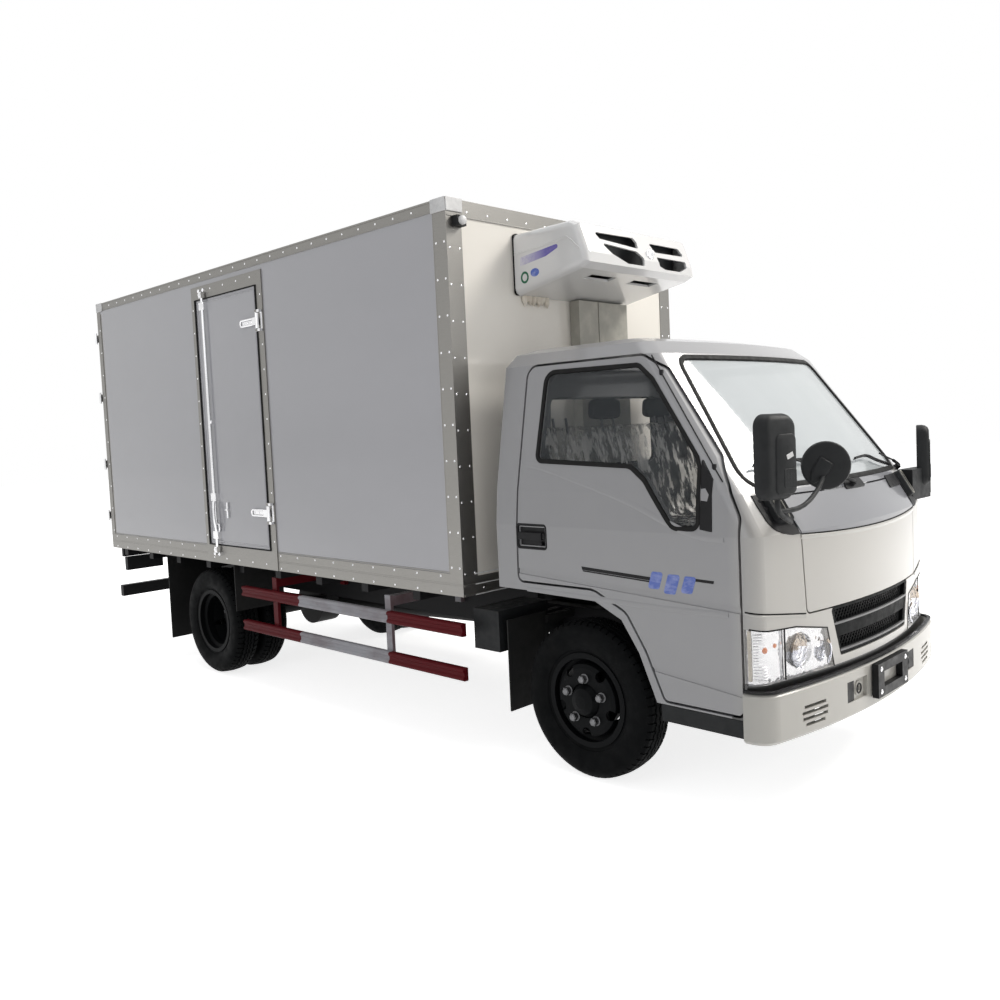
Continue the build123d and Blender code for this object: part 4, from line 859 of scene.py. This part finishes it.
for side, flip, _ in SIDES:
    bm = bmesh.new()
    for k in range(16):
        z = 0.620 + RIB_PITCH * k
        inner = -0.800 if k < 5 else -0.842 + 0.018 * (k > 12)
        path = [lifted(cab_wrap, u, z, -0.011) for u in (-0.866, -0.850, 0.5 * (inner - 0.850), inner)]
        tube(bm, path, 0.0036, 6)
    piece(f"lamp_ribs_{side}", bm, "chrome", "cab", flip=flip, sharp=60)
    bm = bmesh.new()
    for u, z, r in ((-0.807, 0.734, 0.016), (-0.752, 0.745, 0.012)):
        dome(bm, lifted(cab_wrap, u, z, -0.026), cab_wrap(u, z) - lifted(cab_wrap, u, z, -1), r, 0.018, 16)
    piece(f"indicator_bulbs_{side}", bm, "amber", "cab", flip=flip)
    bm = bmesh.new()
    strip_profile = ((-0.890, -0.010), (-0.889, -0.004), (-0.874, -0.005), (-0.873, -0.010))
    skin(bm, [[lifted(cab_wrap, u, z, h) for u, h in strip_profile] for z in (0.614, 0.66, 0.71, 0.76, 0.815)])
    piece(f"lamp_outer_strip_{side}", bm, "cream", "cab", flip=flip)

# ---------- bumper: bolts, linings; grille lips
bm = bmesh.new()
for y in (-0.1305, 0.1345):
    for z in (0.441, 0.541):
        drum(bm, (3.0195, y, z), (3.0215, y, z), 0.011, sides=16)
        dome(bm, (3.0215, y, z), (1, 0, 0), 0.0075, 0.005, 6)
piece("plate_bolts", bm, "chrome", "chassis")
VENT_Y = 0.588
TOW_EYE = (2.9765, 0.262, 0.482)
TOW_EYE_RADIUS = 0.020
bm = bmesh.new()
for sign in (-1, 1):
    block(bm, (2.880, sign * VENT_Y - 0.060, 0.396), (2.905, sign * VENT_Y + 0.060, 0.496))
    near, far = sorted((sign * 0.366, sign * 0.298))
    block(bm, (2.955, near, 0.436), (2.9705, far, 0.528))
    angles = [2 * pi * k / 20 for k in range(21)]
    x, y, z = TOW_EYE
    tube(bm, [(x, sign * y + TOW_EYE_RADIUS * cos(a), z + TOW_EYE_RADIUS * sin(a)) for a in angles], 0.0035, 6)
piece("bumper_linings", bm, "trim_black", "chassis")
bm = bmesh.new()
for z, half in ((0.775, 0.385), (0.657, 0.345)):
    lip = [(half * k / 10, z) for k in range(-10, 11)]
    band(bm, cab_face, lip, rect(-0.004, 0.004, -0.010, 0.0005), closed=False)
piece("grille_lips", bm, "grille_lip", "cab")

# ---------- doors: creases, stripes, shapes
CREASES = [
    (smooth_run([(-0.300, 1.470), (-0.150, 1.440), (0.273, 1.319),
                 (0.560, 1.205), (0.690, 1.172), (0.790, 1.168)], 6),
     [(-0.022, -0.0005), (0.0, 0.0045), (0.008, 0.0005), (0.0, -0.002)]),
    (smooth_run([(-0.300, 0.872), (0.100, 0.866), (0.500, 0.862), (0.800, 0.868)], 5),
     [(-0.018, -0.0005), (0.0, 0.005), (0.007, 0.0005), (0.0, -0.002)]),
]
STRIPES = (  # its span in x, the heights of its ends, half its width
    (0.050, 0.470, 1.004, 0.984, 0.0075), (0.055, 0.440, 0.992, 0.973, 0.003), (0.640, 0.735, 1.000, 0.997, 0.006))
SHAPES = (  # middle, width, height, lean
    (0.440, 0.982, 0.058, 0.074, 0.024), (0.520, 0.972, 0.060, 0.084, 0.028), (0.604, 0.976, 0.056, 0.072, 0.024))
for side, flip, _ in SIDES:
    body = f"door_{side}"
    bm = bmesh.new()
    for run, profile in CREASES:
        band(bm, cab_side, run, profile, closed=False)
    piece(f"door_crease_{side}", bm, "cab", body, flip=flip, sharp=60)
    bm = bmesh.new()
    for x0, x1, z0, z1, w in STRIPES:
        stripe = [(x0, z0 - w), (x1, z1 - w), (x1 + 0.004, z1 + w), (x0 - 0.004, z0 + w)]
        plate(bm, cab_side, stripe, -0.0005, 0.0006)
    piece(f"door_stripes_{side}", bm, "trim_black", body, flip=flip, smooth=False)
    bm = bmesh.new()
    for x, z, w, h, lean in SHAPES:
        x0, x1, z0, z1 = x - w / 2, x + w / 2, z - h / 2, z + h / 2
        shape = rounded([(x0, z0), (x1, z0), (x1 + lean, z1), (x0 + lean, z1)], 0.010, 4)
        plate(bm, cab_side, shape, -0.0005, 0.0007)
    piece(f"door_blue_shapes_{side}", bm, "blue", body, flip=flip, smooth=False)


# ---------- seats: crowned pads under crinkled clear film
def pad(bm, middle, half, foot, head, thick, channels=(), cuts=9):
    """A crowned closed pad from a foot to a head point in x and z, with sewn channels across its width."""
    there = set(bm.verts)
    bmesh.ops.create_cube(bm, size=2.0)
    edges = [e for e in bm.edges if e.verts[0] not in there]
    bmesh.ops.subdivide_edges(bm, edges=edges, cuts=cuts, use_grid_fill=True)
    foot, head = Vector((FA + foot[0], 0, foot[1])), Vector((FA + head[0], 0, head[1]))
    along = (head - foot) / 2
    out = along.cross(Vector((0, 1, 0))).normalized()
    for v in bm.verts:
        if v in there:
            continue
        k = sum(abs(c) ** 5 for c in v.co) ** -0.2
        t, y, n = (c * k for c in v.co)
        y *= 1 - 0.035 * (1 - t * t)
        n *= 0.86 + 0.16 * (1 - t * t) + 0.10 * y * y
        for c in channels:
            n *= 1 - 0.30 * exp(-((y - c) / 0.045) ** 2)
        v.co = (foot + head) / 2 + along * t + out * n * thick / 2 + Vector((0, middle + half * y, 0))


def run_length(points):
    return sum((b - a).length for a, b in zip(points, points[1:]))


# label, middle, half width, sewn channels and the middles of its headrests
SEATS = [
    ("driver", 0.395, 0.236, (-0.5, 0.5), (0.395,)),
    ("passenger", -0.270, 0.406, (-0.72, -0.28, 0.0, 0.28, 0.72), (-0.480, -0.090)),
]
# over the cushion's front edge, back along it, up the backrest and over its top
FILM_ROUTE = smooth_path([(x, 0, z) for x, z in (
    (0.212, 1.012), (0.222, 1.090), (0.120, 1.125), (-0.120, 1.122), (-0.205, 1.160),
    (-0.262, 1.380), (-0.312, 1.600), (-0.345, 1.640), (-0.412, 1.620))], 7)
FILM_COLUMNS = 44
BACKREST_START = 26  # the row of the film where the backrest begins
for label, middle, half, channels, headrests in SEATS:
    bm = bmesh.new()
    block(bm, (FA - 0.255, middle - half + 0.022, 0.912), (FA + 0.175, middle + half - 0.022, 1.005))
    for y in headrests:
        for side in (-0.05, 0.05):
            drum(bm, (FA - 0.362, y + side, 1.600), (FA - 0.376, y + side, 1.690), 0.007, sides=10)
    piece(f"seat_base_{label}", bm, "interior", "cab", bevel=0.004)
    bm = bmesh.new()
    pad(bm, middle, half, (-0.270, 1.052), (0.210, 1.062), 0.108, channels)
    pad(bm, middle, half, (-0.250, 1.100), (-0.368, 1.625), 0.100, channels)
    for y in headrests:
        pad(bm, y, 0.124, (-0.392, 1.676), (-0.384, 1.788), 0.055, (), 6)
    seat = piece(f"seat_pads_{label}", bm, "seat", "cab", subsurf=1, stands_for=("seats",))
    rows = []
    for k, q in enumerate(FILM_ROUTE):
        push = 0.8 if k >= BACKREST_START else 0.2  # forwards off the backrest, upwards off the cushion
        row = []
        for j in range(FILM_COLUMNS + 1):
            y = (j / FILM_COLUMNS * 2 - 1) * (half + 0.012)
            fold = noise.noise(Vector((y * 14 + q.z * 2.5, q.z * 3.5, middle * 9)))
            crease = 1 - abs(noise.noise(Vector((y * 26 - q.z * 6, q.z * 6, middle * 5 + 3)))) * 2
            rise = 0.004 + 0.011 * abs(fold) + 0.010 * max(0.0, crease) ** 3
            row.append(Vector((FA + q.x + rise * push, middle + y, q.z + rise * 0.5)))
        rows.append(row)
    bm = bmesh.new()
    skin(bm, rows, closed=False, caps=False)
    cover = piece(f"seat_film_{label}", bm, "film", "cab", sharp=60)
    wide = sum(run_length(row) for row in rows) / len(rows)

# ---------- load box: rivets, rails, corner caps
RIVET = (0.0062, 0.0026)
BOX_LENGTH = 4.250
DOORWAY = (FA - 3.229 - 0.056, FA - 2.449 + 0.076)
FRAME_Y = -0.948  # face of the side door's frame
bm = bmesh.new()
for side in (-1, 1):
    y = side * TRIM_Y
    for z, pitch in ((0.832, 0.19), (0.912, 0.19), (2.762, 0.15)):
        for k in range(int(BOX_LENGTH / pitch)):
            x = BOX_REAR + 0.095 + k * pitch
            if side == -1 and z < 2 and DOORWAY[0] - 0.02 < x < DOORWAY[1] + 0.02:
                continue
            dome(bm, (x, y, z), (0, side, 0), *RIVET)
    for k in range(10):
        for x in (1.178, 1.238, -2.950):
            dome(bm, (x, y, 0.96 + 0.18 * k), (0, side, 0), *RIVET)
        for y2 in (0.858, 0.925):
            dome(bm, (BOX_FRONT, side * y2, 0.93 + 0.18 * k), (1, 0, 0), *RIVET)
for k in range(12):
    for z in (2.735, 0.845):
        dome(bm, (BOX_FRONT, -0.80 + 0.145 * k, z), (1, 0, 0), *RIVET)
for k in range(11):
    for x in (DOORWAY[1] - 0.022, DOORWAY[0] + 0.020):
        dome(bm, (x, FRAME_Y, 1.00 + 0.155 * k), (0, -1, 0), *RIVET)
for k in range(5):
    for z in (2.670, 0.850):
        dome(bm, (DOORWAY[0] + 0.10 + 0.17 * k, FRAME_Y, z), (0, -1, 0), *RIVET)
piece("rivets", bm, "chrome", "chassis", sharp=60)

bm = bmesh.new()
for side in (-1, 1):
    y = side * TRIM_Y
    for z, x0, x1 in ((0.868, BOX_REAR, 1.255), (0.926, BOX_REAR, 1.160), (2.735, BOX_REAR, BOX_FRONT)):
        clear = side == 1 or z > 2
        for a, b in [(x0, x1)] if clear else [(x0, DOORWAY[0]), (DOORWAY[1], x1)]:
            for h in (0.0, 0.008):
                block(bm, (a, y - 0.0012, z - 0.0022 + h), (b, y + 0.0018, z + 0.0022 + h))
    block(bm, (-3.000, y - 0.003, 2.783), (1.262, y + 0.004, 2.7925))
    block(bm, (1.158, y - 0.001, 0.930), (1.162, y + 0.002, 2.730))
for z0, z1, x1 in ((0.815, 0.825, 1.262), (0.865, 0.875, 1.262), (2.705, 2.712, 1.261)):
    block(bm, (1.256, -0.935, z0), (x1, 0.935, z1))
piece("box_rail_ridges", bm, "alu", "chassis", bevel=0.0008)
# painted highlight: the aluminium rail edges on the front wall are drawn flat white for the light they catch
bm = bmesh.new()
for z in (0.815, 0.868, 0.921):
    block(bm, (1.257, -0.862, z), (1.2635, 0.862, z + 0.0055))
piece("front_rail_edge_highlights", bm, "lamp_white", "chassis", bevel=0.0008)

CAP = 0.11  # length of a corner cap along each rail
CAP_Z = (2.728, 2.790, 2.797)  # lower edge, underside of the top plate, top
bm = bmesh.new()
for out_x, x in ((1, BOX_FRONT), (-1, BOX_REAR)):
    x0, x1 = sorted((x, x - out_x * CAP))
    for out_y in (-1, 1):
        y = out_y * TRIM_Y
        y0, y1 = sorted((y - out_y * 0.002, y + out_y * 0.005))
        block(bm, (x0, y0, CAP_Z[0]), (x1, y1, CAP_Z[2]))
        y0, y1 = sorted((y, y - out_y * CAP))
        if out_x == 1:
            block(bm, (1.257, y0, CAP_Z[0]), (1.264, y1, CAP_Z[2]))
        block(bm, (x0, y0, CAP_Z[1]), (x1, y1, CAP_Z[2]))
piece("box_corner_caps", bm, "lamp_white", "chassis", bevel=0.003)

MARKER = (0.875, 2.680)
bm = bmesh.new()
for sign in (-1, 1):
    y, z = sign * MARKER[0], MARKER[1]
    drum(bm, (1.290, y, z), (1.313, y, z), 0.024, 0.022, 24)
    dome(bm, (1.312, y, z), (1, 0, 0), 0.021, 0.009, 24)
piece("marker_lenses", bm, "lamp_white", "chassis")

# ---------- load box doors: seals and fittings
LEAF = (-3.229, -2.449, 0.942, 2.610)
EDGING = 0.022  # how far the edging's middle lies inside the leaf
bm = bmesh.new()
band(bm, box_side, rect(*LEAF),
     [(-0.003, 0.0035), (0.012, 0.0035), (0.012, 0.0125), (0.004, 0.0145), (-0.003, 0.0105)])
piece("side_door_gasket", bm, "rubber", "side_door")
bm = bmesh.new()
band(bm, box_side, rect(LEAF[0] + EDGING, LEAF[1] - EDGING, LEAF[2] + EDGING, LEAF[3] - EDGING),
     [(-0.010, 0.0035), (0.010, 0.0035), (0.010, 0.0065), (0.006, 0.0085), (-0.006, 0.0085), (-0.010, 0.0055)])
piece("side_door_edging", bm, "panel", "side_door")

HINGE_X = FA - 2.415
HINGE_HEIGHTS = (1.179, 2.388)
BAR_X = FA - 3.105
STAY_X = FA - 2.956
STAY_Z = 1.185


def closed_wire(bm, loop, y, radius):
    """A bent wire along a loop in x and z."""
    tube(bm, [(p[0], y, p[1]) for p in loop + loop[:1]], radius, 8)


bm = bmesh.new()
for z in HINGE_HEIGHTS:
    drum(bm, (HINGE_X, -0.966, z - 0.048), (HINGE_X, -0.966, z + 0.048), 0.0115, sides=18)
    block(bm, (HINGE_X - 0.062, -0.9665, z - 0.024), (HINGE_X, -0.957, z + 0.024))
    strap = rounded(rect(HINGE_X - 0.215, HINGE_X - 0.060, z - 0.019, z + 0.019), 0.017, 5)
    closed_wire(bm, strap, -0.958, 0.0065)
    block(bm, (HINGE_X - 0.200, -0.953, z - 0.012), (HINGE_X - 0.062, -0.944, z + 0.012))
    for x in (-0.185, -0.135, -0.085):
        dome(bm, (HINGE_X + x, -0.953, z), (0, -1, 0), 0.008, 0.005, 6)
drum(bm, (BAR_X, -0.964, 0.905), (BAR_X, -0.964, 2.640), 0.0105, sides=16)
for z in (1.010, 1.270, 2.560):
    block(bm, (BAR_X - 0.030, -0.975, z - 0.026), (BAR_X + 0.036, -0.944, z + 0.026))
    for dx in (-0.022, 0.028):
        for dz in (-0.017, 0.017):
            dome(bm, (BAR_X + dx, -0.975, z + dz), (0, -1, 0), 0.0055, 0.004, 6)
block(bm, (BAR_X + 0.004, -0.972, 1.770), (BAR_X + 0.040, -0.944, 1.790))
dome(bm, (BAR_X + 0.034, -0.972, 1.780), (0, -1, 0), 0.009, 0.006, 10)
for z in (0.910, 2.634):
    block(bm, (BAR_X - 0.016, -0.980, z - 0.020), (BAR_X + 0.016, -0.958, z + 0.020))
    drum(bm, (BAR_X, -0.986, z), (BAR_X, -0.958, z), 0.012, sides=14)
grip = [(0.004, -0.974, 1.240), (0.010, -0.980, 1.200), (0.016, -0.982, 1.120), (0.020, -0.976, 1.050)]
tube(bm, smooth_path([(BAR_X + x, y, z) for x, y, z in grip], 6), 0.0085, 10)
closed_wire(bm, rounded(rect(BAR_X - 0.008, BAR_X + 0.042, 1.030, 1.085), 0.02, 5), -0.962, 0.006)
block(bm, (STAY_X - 0.008, -0.957, 1.130), (STAY_X + 0.008, -0.950, 1.235))
drum(bm, (STAY_X, -0.944, STAY_Z), (STAY_X, -0.960, STAY_Z), 0.010, sides=12)
drum(bm, (STAY_X - 0.029, -0.955, STAY_Z), (STAY_X, -0.955, STAY_Z), 0.005, sides=8)
piece("side_door_fittings", bm, "chrome", "side_door", sharp=40, bevel=0.001,
      stands_for=("side_door_hardware",))

bm = bmesh.new()
for z in HINGE_HEIGHTS:
    for low in (z - 0.067, z + 0.051):
        block(bm, (HINGE_X - 0.014, -0.9735, low), (HINGE_X + 0.036, -0.947, low + 0.016))
    block(bm, (HINGE_X + 0.014, -0.953, z - 0.066), (HINGE_X + 0.036, -0.947, z + 0.066))
for z in (0.880, 2.664):
    for x in (BAR_X - 0.030, BAR_X + 0.030):
        drum(bm, (x, -0.947, z), (x, -0.972, z), 0.013, sides=14)
        dome(bm, (x, -0.971, z), (0, -1, 0), 0.010, 0.006, 10)
piece("side_door_keepers", bm, "chrome", "chassis", bevel=0.0012)

for side, sign in (("left", -1), ("right", 1)):
    near, far = sorted((sign * 0.004, sign * 0.881))
    bm = bmesh.new()
    band(bm, box_rear, rect(near, far, 0.925, 2.693),
         [(-0.012, -0.0005), (0.003, -0.0005), (0.003, 0.004), (-0.006, 0.006), (-0.012, 0.004)])
    piece(f"rear_door_gasket_{side}", bm, "rubber", f"rear_door_{side}")

# ---------- cooling unit: strip, crease, seal, marks, foam
UNIT_STRIP = rounded(
    [(-0.600, 2.492), (-0.420, 2.516), (-0.338, 2.546), (-0.338, 2.566), (-0.420, 2.556), (-0.600, 2.536)],
    [0.003, 0.03, 0.012, 0.012, 0.03, 0.003], 4)
bm = bmesh.new()
plate(bm, unit_side, UNIT_STRIP, -0.0005, 0.0010)
piece("unit_blue_strip", bm, "strip", "chassis", smooth=False)
UNIT_CREASE = smooth_run(
    [(-0.640, 2.560), (-0.420, 2.575), (-0.300, 2.592), (-0.262, 2.584), (-0.222, 2.545), (-0.196, 2.522)], 5)
CREASE_PROFILE = ((-0.003, -0.016), (0.0035, -0.003), (0.0035, 0.0), (-0.003, 0.004))
bm = bmesh.new()
for sign in (-1, 1):
    skin(bm, [[(FA + x, sign * (0.480 + a), z + b) for a, b in CREASE_PROFILE] for x, z in UNIT_CREASE])
piece("unit_crease", bm, "unit", "chassis", sharp=50)
bm = bmesh.new()
outline = rounded([(-0.480, 2.350), (-0.480, 2.668), (0.480, 2.668), (0.480, 2.350)], 0.02, 4)
band(bm, wall_face, outline, rect(-0.004, 0.0015, 0.0, 0.009))
piece("unit_seal", bm, "rubber", "chassis")
BADGE = Vector((FA - 0.166, 0.071, 2.541))
BADGE_STEPS = ((0.030, -0.006), (0.030, 0.004), (0.026, 0.007), (0.022, 0.004), (0.016, 0.008), (0.006, 0.010))
turns = [2 * pi * k / 28 for k in range(28)]
bm = bmesh.new()
skin(bm, [[BADGE + Vector((h, r * cos(a), r * sin(a))) for a in turns] for r, h in BADGE_STEPS])
piece("unit_badge", bm, "chrome", "chassis", sharp=60)
MARKS = (  # name, look, place, half width and height, and the rings' share and lift
    ("unit_ring_mark", "green", -0.572, 2.430, 0.028, 0.031,
     ((0.62, -0.0004), (0.62, 0.0008), (1.0, 0.0008), (1.0, -0.0004))),
    ("unit_oval_mark", "blue", -0.500, 2.446, 0.030, 0.021, ((0.05, 0.0008), (1.0, 0.0008), (1.0, -0.0004))),
)
for name, look, x, z, wide, high, steps in MARKS:
    bm = bmesh.new()
    skin(bm, [[lifted(unit_side, x + wide * k * cos(a), z + high * k * sin(a), lift) for a in turns]
              for k, lift in steps], caps=False)
    piece(name, bm, look, "chassis")

# a torn lump of sealing foam with an uneven edge
FOAM_TOP = 2.346
bm = bmesh.new()
rows = []
for k in range(15):
    y = -0.425 + 0.0135 * k
    drop = 0.030 * abs(sin(k * 1.9)) + 0.022 * abs(sin(k * 0.7 + 1)) + 0.004
    depth = 0.020 + 0.010 * sin(k * 2.3)
    edge = ((0.9, FOAM_TOP - drop * 0.6), (0.4, FOAM_TOP - drop), (0.0, FOAM_TOP - drop * 0.8))
    profile = ((0.0, 2.350), (1.0, 2.349), *edge)
    rows.append([wall_face(y, z) + Vector((depth * share, 0, 0)) for share, z in profile])
skin(bm, rows)
piece("unit_foam", bm, "foam", "chassis", sharp=70)

# ---------- wheels: tread, nuts
# half of a tyre's section: radius and distance from its middle
TREAD = [
    (0.206, -0.058), (0.214, -0.067), (0.226, -0.071), (0.236, -0.0745), (0.240, -0.080), (0.268, -0.0905),
    (0.300, -0.0925), (0.318, -0.0925), (0.330, -0.0905), (0.342, -0.086), (0.352, -0.079), (0.360, -0.070),
    (0.3655, -0.063), (0.3680, -0.044), (0.3600, -0.042), (0.3600, -0.036), (0.3690, -0.034),
    (0.3705, -0.016), (0.3620, -0.014), (0.3620, -0.008), (0.3712, -0.006),
]
TREAD += [(r, -y) for r, y in TREAD[::-1]]
TREAD += [(0.200, 0.050), (0.200, -0.050)]
# within one pitch: place, whether in a shoulder slot, which way the grooves swing
TREAD_STEPS = ((0.0, 0, 1), (0.42, 0, 1), (0.5, 0, -1), (0.78, 0, -1), (0.80, 1, -1), (0.98, 1, 1))


def tyre_mesh(bm, x, y_mid, side, pitches=58):
    """A tyre with ribs, zigzag grooves and shoulder slots."""
    rings = []
    for k in range(pitches):
        for t, slot, swing in TREAD_STEPS:
            a = 2 * pi * (k + t) / pitches
            ring = []
            for r, y in TREAD:
                if slot and r > 0.355 and 0.040 < abs(y) < 0.075:
                    r -= 0.007
                if abs(y) < 0.0445 and r > 0.3595:
                    y += 0.0028 * swing
                ring.append((x + r * cos(a), y_mid + side * y, WHEEL_Z + r * sin(a)))
            rings.append(ring)
    rings.append(rings[0])
    skin(bm, rings, caps=False)
    bmesh.ops.remove_doubles(bm, verts=bm.verts, dist=1e-5)


NUT_CIRCLE = 0.104
# axle, its place, the tyres' middles, the nuts' start and end, its tyre node
AXLES = (
    ("front", FA, (0.722,), (0.806, 0.838), "front_tyre"),
    ("rear", RA, (0.601, 0.823), (0.724, 0.756), "rear_tyres"),
)
for side, _, sign in SIDES:
    for axle, x, middles, _, tyre_node in AXLES:
        bm = bmesh.new()
        for y in middles:
            tyre_mesh(bm, x, sign * y, sign)
        piece(f"{axle}_tread_{side}", bm, "tyre", f"wheel_{axle}_{side}", sharp=28,
              stands_for=(f"{tyre_node}_{side}",))
    for axle, x, _, (y0, y1), _ in AXLES:
        bm = bmesh.new()
        for k in range(5):
            a = pi / 2 + 2 * pi * k / 5
            px, pz = x + NUT_CIRCLE * cos(a), WHEEL_Z + NUT_CIRCLE * sin(a)
            drum(bm, (px, sign * y0, pz), (px, sign * (y0 + 0.004), pz), 0.024, 0.022, 20)
            drum(bm, (px, sign * (y0 + 0.003), pz), (px, sign * (y1 - 0.006), pz), 0.0195, 0.0195, 6)
            dome(bm, (px, sign * (y1 - 0.007), pz), (0, sign, 0), 0.016, 0.010, 14)
        piece(f"{axle}_wheel_nuts_{side}", bm, "nut", f"wheel_{axle}_{side}", bevel=0.001)

# ---------- camera, light, floor
yaw, pitch, roll = radians(44.03), radians(-3.43), radians(-2.54)
look = Vector((-sin(yaw) * cos(pitch), cos(yaw) * cos(pitch), sin(pitch)))
right = look.cross(Vector((0, 0, 1))).normalized()
up = right.cross(look)
right, up = cos(roll) * right + sin(roll) * up, cos(roll) * up - sin(roll) * right
cam = bpy.data.objects.new("camera", bpy.data.cameras.new("camera"))
scene.collection.objects.link(cam)
facing = Matrix((right, up, -look)).transposed().to_4x4()
cam.matrix_world = Matrix.Translation((FA + 2.7101, -3.9964, 1.6563)) @ facing
cam.data.sensor_width = 36.0
cam.data.lens = 0.91307 * 36.0
cam.data.shift_x = -0.0177
cam.data.shift_y = -0.01844
cam.data.clip_end = 200
scene.camera = cam

WORLD_LIGHT = 0.32
scene.world = bpy.data.worlds.new("studio")
scene.world.use_nodes = True
tree = scene.world.node_tree
background = tree.nodes["Background"]
background.inputs[0].default_value = (1, 1, 1, 1)


def seen_rays(tree):
    """A value that is 1 for camera, glossy and transmission rays."""
    rays = tree.nodes.new("ShaderNodeLightPath").outputs
    value = rays["Is Camera Ray"]
    for kind in ("Is Glossy Ray", "Is Transmission Ray"):
        either = tree.nodes.new("ShaderNodeMath")
        either.operation = "MAXIMUM"
        tree.links.new(value, either.inputs[0])
        tree.links.new(rays[kind], either.inputs[1])
        value = either.outputs[0]
    return value


strength = tree.nodes.new("ShaderNodeMapRange")
strength.inputs["To Min"].default_value = WORLD_LIGHT
strength.inputs["To Max"].default_value = 1.0
tree.links.new(seen_rays(tree), strength.inputs["Value"])
tree.links.new(strength.outputs[0], background.inputs[1])

LAMPS = (  # name, place, target, size, power, colour
    ("key", (7.5, 6.5, 9.5), (0.5, 0, 1), 4.0, 1000, (1.0, 0.965, 0.91)),
    ("front", (11.0, 2.0, 4.0), (1.2, 0, 1.5), 5.0, 140, (1.0, 0.98, 0.95)),
    ("top", (1.5, -1.0, 11.0), (0.5, 0, 1), 6.0, 260, (1.0, 1.0, 1.0)),
    ("side", (3.0, -9.5, 6.0), (-0.5, 0, 1), 7.0, 115, (0.93, 0.95, 1.0)),
    ("back", (-9.0, 3.0, 6.0), (-2, 0, 1), 5.0, 300, (1.0, 1.0, 1.0)),
)
for name, place, target, size, power, color in LAMPS:
    data = bpy.data.lights.new(name, "AREA")
    data.energy = power
    data.color = color
    data.size = size
    lamp = bpy.data.objects.new(name, data)
    scene.collection.objects.link(lamp)
    lamp.location = place
    lamp.rotation_euler = (Vector(target) - Vector(place)).to_track_quat("-Z", "Y").to_euler()

FLOOR_HALF = 40
floor_mesh = bpy.data.meshes.new("floor")
floor_corners = [(x, y, 0) for x, y in rect(-FLOOR_HALF, FLOOR_HALF, -FLOOR_HALF, FLOOR_HALF)]
floor_mesh.from_pydata(floor_corners, [], [(0, 1, 2, 3)])
floor = bpy.data.objects.new("floor", floor_mesh)
scene.collection.objects.link(floor)
floor_mat = Mat("floor_pale", (0.86, 0.86, 0.86), 0.9, 0.0, 0.0, 0.1)
floor_mat.mottle(0.4, 0.2, (0.84, 0.84, 0.84))
floor_mat.drive("Emission Strength", floor_mat.math("MULTIPLY", seen_rays(floor_mat.tree), 0.80))
floor_mat.set("Emission Color", (1, 1, 1, 1))
floor_mesh.materials.append(floor_mat.mat)
